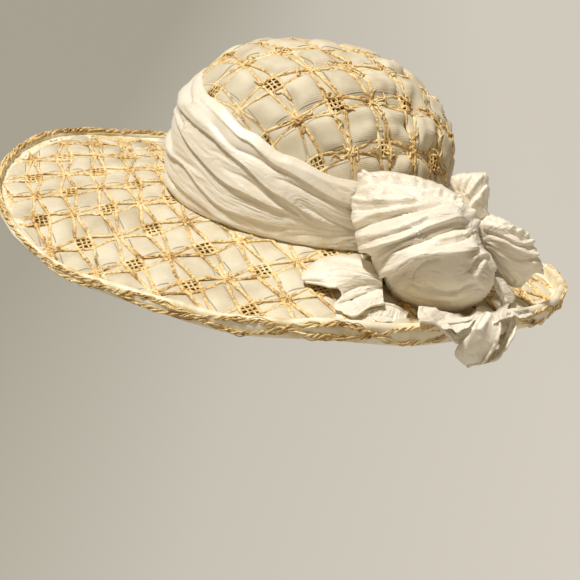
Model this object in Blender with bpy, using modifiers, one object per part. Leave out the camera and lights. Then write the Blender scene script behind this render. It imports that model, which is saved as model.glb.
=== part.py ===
# Wide-brim hat of woven ribbon and raffia with a knotted silk scarf round the crown.
# Metres, +Z up. The origin is the centre of the head opening, where the crown meets the brim.
# The front of the hat points along -Y and the wearer's left, where the scarf is knotted, along +X.

import bpy
import bmesh
from math import atan2, cos, exp, hypot, pi, radians, sin, sqrt
from mathutils import Matrix, Vector

# Crown: outer half sizes at the head line, height, and how square its side view is
HEAD_HALF_WIDTH = 0.0884
HEAD_HALF_LENGTH = 0.1047
CROWN_HEIGHT = 0.126
CROWN_POWER = 2.89
CROWN_BULGE = 0.06
BULGE_HEIGHT = 0.090
MEAN_HEAD = (HEAD_HALF_WIDTH + HEAD_HALF_LENGTH) / 2

# Brim: outer half sizes in plan and how far its centre lies in front of the crown's
BRIM_HALF_WIDTH = 0.190
BRIM_HALF_LENGTH = 0.2239
BRIM_FORWARD = 0.0143
RIM_DROP = 0.0268
RIM_BACK_DROP = 0.0088
RIM_TWIST = 0.0090
RIM_SIDE_DROP = 0.0038
RIM_WAVE = 0.0016
RIM_WAVES = 9

# Turned-up edge of the brim: highest at the left and the back
EDGE_LOW = 0.005
EDGE_HIGH = 0.0145
EDGE_HIGH_AT = radians(40)
EDGE_LEAN = 0.0015
EDGE_BEND = 0.004

WALL = 0.002
GAP = 0.0006
SEGMENTS = 52
CROWN_ROWS = 12
BRIM_ROWS = 6
BEND_ROWS = 3

# Weave: two thread directions in the flat cloth and one crossing that both grids start from
BRIM_ACROSS = Vector((-0.0130, 0.0215))
BRIM_DOWN = Vector((0.0295, 0.0133))
BRIM_CROSSING = Vector((0.1141, -0.1460))
BRIM_TURN = 0.20
BRIM_TURN_AT = -0.73
CROWN_ACROSS = Vector((-0.0153, 0.0278))
CROWN_DOWN = Vector((0.0282, 0.0232))
CROWN_CROSSING = Vector((0.0611, -0.0406))
OPEN_SIZE = 0.0075
PANEL_PUFF = 0.0032
CROWN_MARGIN = 0.011
BRIM_MARGIN = 0.013

# The crown's panels puff from just above the band, and outwards from a point inside the crown
PUFF_START = 0.008
PUFF_RISE = 0.010
PUFF_LEVEL = 0.045
PUFF_LIFT = 1.4

# Soft dents in the top of the crown, towards the back
DENTS = [
    {"angle": 68, "height": 0.108, "reach": 0.014, "depth": 0.0050},
    {"angle": 48, "height": 0.094, "reach": 0.011, "depth": 0.0040},
    {"angle": 100, "height": 0.112, "reach": 0.018, "depth": 0.0035},
    {"angle": 205, "height": 0.110, "reach": 0.020, "depth": 0.0030},
]

# Scarf band: the height of its upper edge round the crown, in degrees from the wearer's left
BAND_TOPS = [
    {"angle": -90, "top": 0.093},
    {"angle": -53, "top": 0.086},
    {"angle": -31, "top": 0.0755},
    {"angle": -12, "top": 0.066},
    {"angle": 16, "top": 0.056},
    {"angle": 50, "top": 0.046},
    {"angle": 95, "top": 0.044},
    {"angle": 150, "top": 0.060},
    {"angle": 215, "top": 0.082},
    {"angle": 270, "top": 0.093},
]
BAND_BOTTOM = 0.0012
BAND_THICK = 0.0052
BAND_ROUND = 0.0022
BAND_GROOVE = 0.0026
BAND_FOLDS = 5
BAND_ROWS = 10
BAND_INNER_ROWS = 5
BAND_TWIST = 0.35
KNOT_AT = 48
KNOT_REACH = 34

# Raffia braid round the outside of the turned-up edge
BRAID_RADIUS = 0.0019
BRAID_LEVEL = 0.45
BRAID_POINTS = 72

# Gathered pieces of the scarf: centre, half sizes, turns about Z, then Y, then X, and folds
PUFFS = [
    {"name": "scarf_knot", "centre": (0.109, 0.085, 0.033), "half": (0.033, 0.053, 0.052),
     "turn": 34, "tip": 14, "roll": 20, "folds": 7, "groove": 0.0045, "around": 24, "rows": 14},
    {"name": "scarf_back_loop", "centre": (0.080, 0.147, 0.021), "half": (0.021, 0.037, 0.031),
     "turn": 12, "tip": 0, "roll": 0, "folds": 6, "groove": 0.0040, "around": 20, "rows": 12},
    {"name": "scarf_tuft", "centre": (0.074, 0.113, 0.056), "half": (0.015, 0.019, 0.022),
     "turn": 20, "tip": 0, "roll": 0, "folds": 4, "groove": 0.0030, "around": 14, "rows": 8},
    {"name": "scarf_front_tail", "centre": (0.124, 0.038, -0.003), "half": (0.020, 0.032, 0.013),
     "turn": -14, "tip": 8, "roll": 0, "folds": 4, "groove": 0.0030, "around": 16, "rows": 10},
    {"name": "scarf_lower_tail", "centre": (0.157, 0.064, -0.013), "half": (0.017, 0.032, 0.011),
     "turn": 14, "tip": 8, "roll": 0, "folds": 4, "groove": 0.0025, "around": 16, "rows": 8},
]
PUFF_FULLNESS = 2.5
FAN_START = (0.9, -0.25)
REST_GAP = 0.0009

# Hanging end of the scarf: sections along its way over the edge of the brim and down
HANG_SECTIONS = [
    {"out": -0.0230, "up": 0.0125, "along": -0.001, "wide": 0.012, "thick": 0.0045},
    {"out": -0.0080, "up": 0.0194, "along": 0.000, "wide": 0.022, "thick": 0.0046},
    {"out": 0.0060, "up": 0.0198, "along": 0.003, "wide": 0.024, "thick": 0.0046},
    {"out": 0.0150, "up": 0.0110, "along": 0.007, "wide": 0.025, "thick": 0.0060},
    {"out": 0.0168, "up": -0.0010, "along": 0.008, "wide": 0.024, "thick": 0.0078},
    {"out": 0.0168, "up": -0.0100, "along": 0.006, "wide": 0.022, "thick": 0.0080},
    {"out": 0.0155, "up": -0.0175, "along": 0.003, "wide": 0.014, "thick": 0.0062},
]
HANG_ANGLE = radians(41)
HANG_SIDES = 16


def polar(radius, angle, height=0.0):
    """Point by its distance from the crown's axis, its direction and its height."""
    return Vector((radius * cos(angle), radius * sin(angle), height))


def head_radius(angle):
    """Plan radius of the head line in one direction."""
    return 1 / hypot(cos(angle) / HEAD_HALF_WIDTH, sin(angle) / HEAD_HALF_LENGTH)


def rim_radius(angle):
    """Plan radius of the brim's outer edge in one direction from the crown's axis."""
    across = cos(angle) / BRIM_HALF_WIDTH
    along = sin(angle) / BRIM_HALF_LENGTH
    shift = BRIM_FORWARD / BRIM_HALF_LENGTH
    a = across ** 2 + along ** 2
    b = along * shift
    return (-b + sqrt(b * b - a * (shift ** 2 - 1))) / a


def rim_height(angle):
    """Height of the outer edge: lower at the back, twisted, with a slight wave."""
    radius = rim_radius(angle)
    turn = atan2((radius * sin(angle) + BRIM_FORWARD) / BRIM_HALF_LENGTH,
                 radius * cos(angle) / BRIM_HALF_WIDTH)
    height = -RIM_DROP - RIM_BACK_DROP * sin(turn) + RIM_TWIST * sin(2 * turn)
    return height - RIM_SIDE_DROP * cos(2 * turn) + RIM_WAVE * sin(RIM_WAVES * angle)


def edge_height(angle):
    """How far the edge of the brim is turned up."""
    nearness = 0.5 + 0.5 * cos(angle - EDGE_HIGH_AT)
    return EDGE_LOW + (EDGE_HIGH - EDGE_LOW) * nearness ** 1.5


def brim_top(radius, angle):
    """Height of the brim's upper face over a plan point, with its turned-up edge as a step."""
    inner = head_radius(angle)
    outer = rim_radius(angle)
    share = min(max((radius - inner) / (outer - EDGE_BEND - inner), 0), 1)
    height = rim_height(angle) * share
    if radius > outer - EDGE_BEND - WALL:
        height += edge_height(angle)
    return height


def crown_scale(height):
    """Size of the crown's plan at a height, against its size at the head line."""
    level = min(max(height, 0) / CROWN_HEIGHT, 0.99999)
    bulge = 1 + CROWN_BULGE * sin(min(1, max(height, 0) / BULGE_HEIGHT) * pi / 2)
    return bulge * (1 - level ** CROWN_POWER) ** (1 / CROWN_POWER)


def crown_profile(steps):
    """Heights from the top down to the head line, with the arc length from the top."""
    rows = []
    length = 0
    last = None
    for k in range(steps + 1):
        turn = pi / 2 * (1 - k / steps)
        height = CROWN_HEIGHT * sin(turn) ** (2 / CROWN_POWER)
        scale = crown_scale(height) if k else 0
        point = (scale * MEAN_HEAD, height)
        if last:
            length += hypot(point[0] - last[0], point[1] - last[1])
        last = point
        rows.append({"height": height, "scale": scale, "length": length})
    return rows


CROWN_CURVE = crown_profile(90)


def crown_row(length):
    """Height and plan scale of the crown at an arc length from its top."""
    for low, high in zip(CROWN_CURVE, CROWN_CURVE[1:]):
        if length <= high["length"]:
            share = (length - low["length"]) / (high["length"] - low["length"])
            height = low["height"] + (high["height"] - low["height"]) * share
            return height, low["scale"] + (high["scale"] - low["scale"]) * share
    return 0.0, 1.0


def band_top(angle):
    """Height of the scarf band's upper edge in one direction."""
    degrees = (angle * 180 / pi + 90) % 360 - 90
    for low, high in zip(BAND_TOPS, BAND_TOPS[1:]):
        if degrees <= high["angle"]:
            share = (degrees - low["angle"]) / (high["angle"] - low["angle"])
            ease = share * share * (3 - 2 * share)
            return low["top"] + (high["top"] - low["top"]) * ease
    return BAND_TOPS[-1]["top"]


def crown_flat(length, angle):
    """Flat place of a point of the crown, given by its arc length from the top and direction."""
    stretch = head_radius(angle) / MEAN_HEAD
    return Vector((cos(angle), sin(angle))) * length * stretch


def crown_place(flat):
    """Arc length and direction of a flat place of the crown."""
    angle = atan2(flat.y, flat.x)
    return flat.length * MEAN_HEAD / head_radius(angle), angle


def weave_place(point, crossing, across, down):
    """Place of a flat point in the weave, in whole cells across and down."""
    offset = point - crossing
    area = across.x * down.y - across.y * down.x
    return ((offset.x * down.y - offset.y * down.x) / area,
            (across.x * offset.y - across.y * offset.x) / area)


def crown_point(length, angle):
    """Point of the crown's outer face: dome, puffed panels between the threads, and dents."""
    height, scale = crown_row(length)
    point = polar(head_radius(angle) * scale, angle, height)
    i, j = weave_place(crown_flat(length, angle), CROWN_CROSSING, CROWN_ACROSS, CROWN_DOWN)
    clear = min(max((height - band_top(angle) - PUFF_START) / PUFF_RISE, 0), 1)
    out = Vector((point.x, point.y, PUFF_LIFT * max(height - PUFF_LEVEL, 0))).normalized()
    point += out * PANEL_PUFF * clear * (sqrt(abs(sin(pi * i) * sin(pi * j))) - 0.5)
    for dent in DENTS:
        side = radians(dent["angle"])
        middle = polar(head_radius(side) * crown_scale(dent["height"]), side, dent["height"])
        near = (point - middle).length / dent["reach"]
        point -= out * dent["depth"] * clear * exp(-near * near)
    return point


def brim_place(i, j):
    """Plan point of a crossing of the brim's weave, turned a little round the crown."""
    flat = BRIM_CROSSING + BRIM_ACROSS * i + BRIM_DOWN * j
    start = atan2(flat.y, flat.x)
    angle = start
    for _ in range(12):
        angle = start + BRIM_TURN * sin(angle - BRIM_TURN_AT)
    return flat.length, angle


def material(name, colour, roughness):
    """Plain surface for one sort of material."""
    made = bpy.data.materials.new(name)
    made.use_nodes = True
    shader = made.node_tree.nodes["Principled BSDF"]
    shader.inputs["Base Color"].default_value = (*colour, 1)
    shader.inputs["Roughness"].default_value = roughness
    shader.inputs["Metallic"].default_value = 0
    return made


def add_object(name, mesh, collection, surface=None):
    """Put a mesh in a collection as a named object."""
    made = bpy.data.objects.new(name, mesh)
    collection.objects.link(made)
    if surface:
        mesh.materials.append(surface)
        mesh.shade_smooth()
    return made


def mesh_from(name, bm, turn_out=True):
    """Turn a bmesh into a mesh; turn_out makes the faces of a closed shape point out."""
    if turn_out:
        bmesh.ops.recalc_face_normals(bm, faces=bm.faces)
    mesh = bpy.data.meshes.new(name)
    bm.to_mesh(mesh)
    bm.free()
    return mesh


def ring_surface(rings, closed=False):
    """Loft of rings of points, row by row; closed joins the last ring to the first."""
    bm = bmesh.new()
    rows = [[bm.verts.new(point) for point in ring] for ring in rings]
    pairs = list(zip(rows, rows[1:]))
    if closed:
        pairs.append((rows[-1], rows[0]))
    for low, high in pairs:
        count = max(len(low), len(high))
        for k in range(count):
            if len(low) == 1:
                bm.faces.new((low[0], high[k], high[(k + 1) % count]))
            elif len(high) == 1:
                bm.faces.new((low[k], low[(k + 1) % count], high[0]))
            else:
                bm.faces.new((low[k], low[(k + 1) % count], high[(k + 1) % count], high[k]))
    return bm


def solidify(target, offset):
    """Give an open surface the wall of the cloth."""
    wall = target.modifiers.new("Wall", "SOLIDIFY")
    wall.thickness = WALL
    wall.offset = offset
    wall.use_even_offset = True
    wall.use_rim = True


def cut(target, cutter):
    """Cut the openings of the weave through the wall."""
    holes = target.modifiers.new("Openings", "BOOLEAN")
    holes.operation = "DIFFERENCE"
    holes.object = cutter


def opening_cutters(name, places, collection):
    """One small block for each open crossing, as one cutter."""
    bm = bmesh.new()
    for place in places:
        side = place["along"].normalized()
        up = place["up"].normalized()
        other = up.cross(side).normalized()
        side = other.cross(up)
        frame = Matrix((side, other, up)).transposed().to_4x4()
        size = Matrix.Diagonal((OPEN_SIZE, OPEN_SIZE, 5 * WALL, 1))
        bmesh.ops.create_cube(bm, size=1, matrix=Matrix.Translation(place["at"]) @ frame @ size)
    cutter = add_object(name, mesh_from(name, bm), collection)
    cutter.hide_render = True
    cutter.display_type = "WIRE"
    return cutter


def crown_openings():
    """Open crossings of the crown's weave above the scarf band."""
    places = []
    reach = CROWN_CURVE[-1]["length"]
    for i in range(-12, 13):
        for j in range(-12, 13):
            flat = CROWN_CROSSING + CROWN_ACROSS * i + CROWN_DOWN * j
            length, angle = crown_place(flat)
            if (i + j) % 2 or length > reach:
                continue
            at = crown_point(length, angle)
            if at.z < band_top(angle) + CROWN_MARGIN:
                continue
            along = crown_point(*crown_place(flat + CROWN_ACROSS * 0.1)) - at
            down = crown_point(*crown_place(flat + CROWN_DOWN * 0.1)) - at
            places.append({"at": at, "along": along, "up": down.cross(along)})
    return places


def brim_openings():
    """Open crossings of the brim's weave between the scarf band and the turned-up edge."""
    places = []
    for i in range(-14, 24):
        for j in range(-16, 8):
            if (i + j) % 2:
                continue
            radius, angle = brim_place(i, j)
            inner = head_radius(angle)
            outer = rim_radius(angle)
            if radius < inner + BRIM_MARGIN or radius > outer - BRIM_MARGIN:
                continue
            at = polar(radius, angle, brim_top(radius, angle))
            radius, side = brim_place(i + 0.1, j)
            near = polar(radius, side, brim_top(radius, side))
            up = Vector((0, 0, 1)) - polar(rim_height(angle) / (outer - inner), angle)
            places.append({"at": at, "along": near - at, "up": up})
    return places


def make_crown(collection, cutters, surface):
    """Hollow crown with its wall inside the outer face."""
    reach = CROWN_CURVE[-1]["length"]
    rings = [[crown_point(0, 0)]]
    for row in range(1, CROWN_ROWS + 1):
        length = reach * row / CROWN_ROWS
        rings.append([crown_point(length, 2 * pi * k / SEGMENTS) for k in range(SEGMENTS)])
    rings.append([Vector((p.x, p.y, -WALL)) for p in rings[-1]])
    crown = add_object("crown", mesh_from("crown", ring_surface(rings)), collection, surface)
    solidify(crown, -1)
    cut(crown, opening_cutters("crown_openings", crown_openings(), cutters))


def brim_section(angle):
    """Brim's upper face from the head line out, round the bend and up the turned-up edge."""
    inner = head_radius(angle) + GAP + 0.3 * WALL
    outer = rim_radius(angle)
    low = rim_height(angle)
    points = []
    for row in range(BRIM_ROWS + 1):
        share = row / BRIM_ROWS
        points.append((inner + (outer - EDGE_BEND - inner) * share, low * share))
    for row in range(1, BEND_ROWS + 1):
        turn = pi / 2 * row / BEND_ROWS
        points.append((outer - EDGE_BEND + EDGE_BEND * sin(turn), low + EDGE_BEND * (1 - cos(turn))))
    points.append((outer + EDGE_LEAN, low + edge_height(angle)))
    return [polar(radius, angle, height) for radius, height in points]


def make_brim(collection, cutters, surface):
    """Brim with its turned-up edge, its wall under the upper face."""
    sections = [brim_section(2 * pi * k / SEGMENTS) for k in range(SEGMENTS)]
    rings = [[section[row] for section in sections] for row in range(len(sections[0]))]
    bm = ring_surface(rings)
    bmesh.ops.recalc_face_normals(bm, faces=bm.faces)
    if sum(face.normal.z for face in bm.faces) < 0:
        bmesh.ops.reverse_faces(bm, faces=bm.faces)
    brim = add_object("brim", mesh_from("brim", bm, turn_out=False), collection, surface)
    solidify(brim, -1)
    cut(brim, opening_cutters("brim_openings", brim_openings(), cutters))


def make_braid(collection, surface):
    """Raffia braid as a closed cord that follows the outside of the turned-up edge."""
    curve = bpy.data.curves.new("edge_braid", "CURVE")
    curve.dimensions = "3D"
    curve.bevel_depth = BRAID_RADIUS
    curve.bevel_resolution = 1
    spline = curve.splines.new("POLY")
    spline.points.add(BRAID_POINTS - 1)
    spline.use_cyclic_u = True
    for k, point in enumerate(spline.points):
        angle = 2 * pi * k / BRAID_POINTS
        radius = rim_radius(angle) + EDGE_LEAN / 2 + WALL + BRAID_RADIUS + GAP
        height = rim_height(angle) + BRAID_LEVEL * edge_height(angle)
        point.co = (*polar(radius, angle, height), 1)
    curve.materials.append(surface)
    collection.objects.link(bpy.data.objects.new("edge_braid", curve))


def band_fold(share, angle):
    """Depth of the slanting folds in the band, none where the knot lies on it."""
    degrees = ((angle + pi) % (2 * pi) - pi) * 180 / pi
    calm = exp(-((degrees - KNOT_AT) / KNOT_REACH) ** 2)
    turn = 2 * pi * (BAND_FOLDS * share + BAND_TWIST * sin(angle - 0.8))
    ends = min(1, 8 * min(share, 1 - share))
    return BAND_GROOVE * (0.5 - 0.5 * cos(turn)) ** 0.8 * ends * (1 - calm)


def band_outside(share, angle):
    """How far the band stands out from the crown: folded, and rounded towards its edges."""
    edge = 1 - min(1, 6 * min(share, 1 - share))
    return BAND_THICK - band_fold(share, angle) - BAND_ROUND * edge ** 2


def band_inside(share, angle):
    """Narrow gap between the band and the crown, wider where the crown rounds over."""
    return GAP * (1 + share ** 3)


def make_band(collection, surface):
    """Folded scarf wound round the crown, a closed ring of varying height."""
    rings = []
    rows = [(row / BAND_ROWS, band_outside) for row in range(BAND_ROWS + 1)]
    rows += [(row / BAND_INNER_ROWS, band_inside) for row in range(BAND_INNER_ROWS, -1, -1)]
    for share, stand_off in rows:
        ring = []
        for k in range(SEGMENTS):
            angle = 2 * pi * k / SEGMENTS
            height = BAND_BOTTOM + (band_top(angle) - BAND_BOTTOM) * share
            radius = head_radius(angle) * crown_scale(height) + stand_off(share, angle)
            ring.append(polar(radius, angle, height))
        rings.append(ring)
    bm = ring_surface(rings, closed=True)
    add_object("scarf_band", mesh_from("scarf_band", bm), collection, surface)


def puff_frame(puff):
    """Matrix from a gathered piece's unit ball to the hat."""
    turn = Matrix.Rotation(radians(puff["turn"]), 4, "Z")
    tip = Matrix.Rotation(radians(puff["tip"]), 4, "Y")
    roll = Matrix.Rotation(radians(puff["roll"]), 4, "X")
    size = Matrix.Diagonal((*puff["half"], 1))
    return Matrix.Translation(puff["centre"]) @ turn @ tip @ roll @ size


def off_crown(point):
    """Move a point out of the crown and its band."""
    angle = atan2(point.y, point.x)
    least = head_radius(angle) * crown_scale(point.z) + BAND_THICK + REST_GAP
    reach = hypot(point.x, point.y)
    if point.z < CROWN_HEIGHT and reach < least:
        point.x *= least / reach
        point.y *= least / reach
    return point


def off_brim(point):
    """Move a point up out of the brim."""
    angle = atan2(point.y, point.x)
    point.z = max(point.z, brim_top(hypot(point.x, point.y), angle) + REST_GAP)
    return point


def puff_reach(direction):
    """Size of the rounded block that each gathered piece starts from, in one direction."""
    total = sum(abs(part) ** PUFF_FULLNESS for part in direction)
    return total ** (-1 / PUFF_FULLNESS)


def off_puff(point, puff):
    """Move a point out of another gathered piece."""
    frame = puff_frame(puff)
    local = frame.inverted() @ point
    least = puff_reach(local.normalized()) + REST_GAP / min(puff["half"])
    if local.length < least:
        return frame @ (local.normalized() * least)
    return point


def make_puff(puff, before, collection, surface):
    """Gathered piece of scarf: a soft ball with folds fanning out, seated on what carries it."""
    bm = bmesh.new()
    bmesh.ops.create_uvsphere(bm, u_segments=puff["around"], v_segments=puff["rows"], radius=1)
    frame = puff_frame(puff)
    for vert in bm.verts:
        fan = atan2(vert.co.z - FAN_START[1], FAN_START[0] - vert.co.y)
        groove = 0.5 - 0.5 * cos(2 * puff["folds"] * fan)
        vert.co *= puff_reach(vert.co) - groove * puff["groove"] / min(puff["half"])
        point = frame @ vert.co
        for other in before:
            point = off_puff(point, other)
        vert.co = off_brim(off_crown(point))
    mesh = mesh_from(puff["name"], bm, turn_out=False)
    add_object(puff["name"], mesh, collection, surface)


def hang_point(out, up, along):
    """Point by its distance out from the rim, up from it and along it from the tail's middle."""
    angle = HANG_ANGLE + along / rim_radius(HANG_ANGLE)
    return polar(rim_radius(angle) + out, angle, rim_height(angle) + up)


def make_hanging_tail(collection, surface):
    """End of the scarf that goes over the turned-up edge and hangs below it."""
    rings = []
    for k, row in enumerate(HANG_SECTIONS):
        before = HANG_SECTIONS[max(k - 1, 0)]
        after = HANG_SECTIONS[min(k + 1, len(HANG_SECTIONS) - 1)]
        way = Vector((after["out"] - before["out"], after["up"] - before["up"])).normalized()
        ring = []
        for step in range(HANG_SIDES):
            turn = 2 * pi * step / HANG_SIDES
            pleat = 1 - 0.2 * (0.5 - 0.5 * cos(3 * turn))
            lift = sin(turn) * row["thick"]
            along = row["along"] + cos(turn) * row["wide"] * pleat
            ring.append(hang_point(row["out"] - way.y * lift, row["up"] + way.x * lift, along))
        rings.append(ring)
    top = HANG_SECTIONS[0]
    end = HANG_SECTIONS[-1]
    first = hang_point(top["out"] - 0.002, top["up"] - 0.001, top["along"])
    last = hang_point(end["out"], end["up"] - 0.004, end["along"])
    bm = ring_surface([[first], *rings, [last]])
    add_object("scarf_hanging_tail", mesh_from("scarf_hanging_tail", bm), collection, surface)


def main():
    """Clear the scene and build the hat."""
    for old in list(bpy.data.objects):
        bpy.data.objects.remove(old)
    hat = bpy.data.collections.new("wide_brim_hat")
    cutters = bpy.data.collections.new("cutters")
    for collection in (hat, cutters):
        bpy.context.scene.collection.children.link(collection)
    woven = material("woven_ribbon", (0.80, 0.75, 0.62), 0.75)
    raffia = material("raffia", (0.66, 0.46, 0.20), 0.6)
    silk = material("silk", (0.82, 0.75, 0.63), 0.5)
    make_crown(hat, cutters, woven)
    make_brim(hat, cutters, woven)
    make_braid(hat, raffia)
    make_band(hat, silk)
    for number, puff in enumerate(PUFFS):
        make_puff(puff, PUFFS[:number], hat, silk)
    make_hanging_tail(hat, silk)


main()
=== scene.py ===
from math import cos, hypot, pi, radians, sin

import bmesh
import bpy
import numpy as np
from mathutils import Matrix, Vector, noise


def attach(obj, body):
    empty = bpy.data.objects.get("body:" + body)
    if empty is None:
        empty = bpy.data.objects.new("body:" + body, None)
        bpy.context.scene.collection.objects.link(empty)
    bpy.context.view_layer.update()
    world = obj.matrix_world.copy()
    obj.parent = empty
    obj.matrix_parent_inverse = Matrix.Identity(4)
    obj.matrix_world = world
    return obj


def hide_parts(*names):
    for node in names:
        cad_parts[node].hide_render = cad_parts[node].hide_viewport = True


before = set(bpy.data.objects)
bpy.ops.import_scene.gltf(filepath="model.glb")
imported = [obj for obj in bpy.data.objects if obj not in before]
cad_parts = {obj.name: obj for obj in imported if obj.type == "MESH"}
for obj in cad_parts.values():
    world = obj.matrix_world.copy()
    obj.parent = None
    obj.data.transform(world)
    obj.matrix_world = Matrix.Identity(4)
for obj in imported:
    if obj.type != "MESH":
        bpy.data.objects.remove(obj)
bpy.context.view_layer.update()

# The hat's main sizes in metres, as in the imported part: front along -Y, scarf knot along +X
hat = {
    "headWide": 0.0884, "headLong": 0.1047, "crownHigh": 0.126, "crownPower": 2.89,
    "bulge": 0.06, "bulgeHigh": 0.090, "brimWide": 0.190, "brimLong": 0.2213, "brimForward": 0.0143,
    "rimDrop": 0.0268, "rimBack": 0.0088, "rimTwist": 0.0090, "rimSide": 0.0038,
    "rimWave": 0.0016, "rimWaves": 9, "edgeLow": 0.005, "edgeHigh": 0.0145, "edgeAt": radians(40),
    "edgeLean": 0.0015, "edgeBend": 0.004,
}
meanHead = (hat["headWide"] + hat["headLong"]) / 2

# Upper edge of the scarf band: direction in degrees and height
bandTops = [(-90, 0.093), (-53, 0.086), (-31, 0.0755), (-12, 0.066), (16, 0.056),
            (50, 0.046), (95, 0.044), (150, 0.060), (215, 0.082), (270, 0.093)]


def headRadius(angle):
    return 1 / np.hypot(np.cos(angle) / hat["headWide"], np.sin(angle) / hat["headLong"])


def rimRadius(angle):
    across, along = np.cos(angle) / hat["brimWide"], np.sin(angle) / hat["brimLong"]
    shift = hat["brimForward"] / hat["brimLong"]
    a, b = across ** 2 + along ** 2, along * shift
    return (-b + np.sqrt(b * b - a * (shift ** 2 - 1))) / a


def rimHeight(angle):
    radius = rimRadius(angle)
    turn = np.arctan2((radius * np.sin(angle) + hat["brimForward"]) / hat["brimLong"],
                      radius * np.cos(angle) / hat["brimWide"])
    return (-hat["rimDrop"] - hat["rimBack"] * np.sin(turn) + hat["rimTwist"] * np.sin(2 * turn)
            - hat["rimSide"] * np.cos(2 * turn) + hat["rimWave"] * np.sin(hat["rimWaves"] * angle))


def edgeHeight(angle):
    near = 0.5 + 0.5 * np.cos(angle - hat["edgeAt"])
    return hat["edgeLow"] + (hat["edgeHigh"] - hat["edgeLow"]) * near ** 1.5


def brimHeight(radius, angle):
    inner = headRadius(angle)
    share = np.clip((radius - inner) / (rimRadius(angle) - hat["edgeBend"] - inner), 0, 1)
    return rimHeight(angle) * share


def crownScale(height):
    level = np.clip(np.asarray(height) / hat["crownHigh"], 0, 0.99999)
    swell = 1 + hat["bulge"] * np.sin(np.clip(np.asarray(height) / hat["bulgeHigh"], 0, 1) * pi / 2)
    return swell * (1 - level ** hat["crownPower"]) ** (1 / hat["crownPower"])


curveTurn = pi / 2 * (1 - np.arange(91) / 90)
curveHeight = hat["crownHigh"] * np.sin(curveTurn) ** (2 / hat["crownPower"])
curveScale = crownScale(curveHeight)
curveScale[0] = 0
curveLength = np.concatenate(([0], np.cumsum(np.hypot(np.diff(curveScale * meanHead), np.diff(curveHeight)))))


def bandTop(angle):
    degrees = (np.degrees(angle) + 90) % 360 - 90
    at = np.array([row[0] for row in bandTops], float)
    top = np.array([row[1] for row in bandTops])
    low = np.clip(np.searchsorted(at, degrees) - 1, 0, len(at) - 2)
    share = np.clip((degrees - at[low]) / (at[low + 1] - at[low]), 0, 1)
    return top[low] + (top[low + 1] - top[low]) * share * share * (3 - 2 * share)


def polar(radius, angle, height):
    return np.stack((radius * np.cos(angle), radius * np.sin(angle), height + 0 * angle), axis=-1)


def ease(value, low, high):
    share = np.clip((value - low) / (high - low), 0, 1)
    return share * share * (3 - 2 * share)


# Smooth noise for whole arrays of points, the same in every run
def ripple(points, size, seed):
    shift = Vector((seed * 7.31, seed * 3.17, seed * 5.71))
    return np.array([noise.noise(Vector(point) / size + shift) for point in points])


seamGap = 0.00002

# Mesh helpers: a flat grid from 0 to 1 both ways, which is then laid out by an array of places
def clothGrid(name, across, along):
    bm = bmesh.new()
    bm.loops.layers.uv.new("weave")
    bmesh.ops.create_grid(bm, x_segments=across, y_segments=along, size=0.5, calc_uvs=True)
    bmesh.ops.translate(bm, verts=bm.verts, vec=(0.5, 0.5, 0))
    return toMesh(name, bm)


def toMesh(name, bm):
    mesh = bpy.data.meshes.new(name)
    bm.to_mesh(mesh)
    bm.free()
    return mesh


def placesOf(mesh):
    places = np.empty(len(mesh.vertices) * 3)
    mesh.vertices.foreach_get("co", places)
    return places.reshape(-1, 3)


def setPlaces(mesh, places):
    mesh.vertices.foreach_set("co", np.ascontiguousarray(places, dtype=float).ravel())
    mesh.update()


def closeSeam(mesh):
    bm = bmesh.new()
    bm.from_mesh(mesh)
    bmesh.ops.remove_doubles(bm, verts=bm.verts, dist=seamGap)
    bm.to_mesh(mesh)
    bm.free()


def addPiece(name, mesh, material, replaces=None, wall=None):
    piece = bpy.data.objects.new(name, mesh)
    bpy.context.scene.collection.objects.link(piece)
    mesh.materials.clear()
    mesh.materials.append(material)
    mesh.shade_smooth()
    if wall:
        thick = piece.modifiers.new("Wall", "SOLIDIFY")
        thick.thickness = wall
        thick.offset = -1.0
    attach(piece, "root")
    if replaces:
        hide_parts(replaces)
    return piece


# Shader maths: a socket that can be added, multiplied and compared like a number
class Wire:
    def __init__(self, finish, socket):
        self.finish, self.socket = finish, socket

    def maths(self, operation, other=0.5, swap=False):
        mine, theirs = (other, self) if swap else (self, other)
        return self.finish.node("ShaderNodeMath", {"operation": operation}, {0: mine, 1: theirs})

    def __add__(self, other):
        return self.maths("ADD", other)

    def __sub__(self, other):
        return self.maths("SUBTRACT", other)

    def __mul__(self, other):
        return self.maths("MULTIPLY", other)

    def __truediv__(self, other):
        return self.maths("DIVIDE", other)

    def __rsub__(self, other):
        return self.maths("SUBTRACT", other, swap=True)

    __radd__ = __add__
    __rmul__ = __mul__

    def most(self, other):
        return self.maths("MAXIMUM", other)

    def sine(self):
        return self.maths("SINE")

    def size(self):
        return self.maths("ABSOLUTE")

    def whole(self):
        return self.maths("ROUND")

    def between(self, low, high):
        return self.finish.node("ShaderNodeMapRange", {"interpolation_type": "SMOOTHSTEP"},
                                {"Value": self, "From Min": low, "From Max": high})


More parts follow.
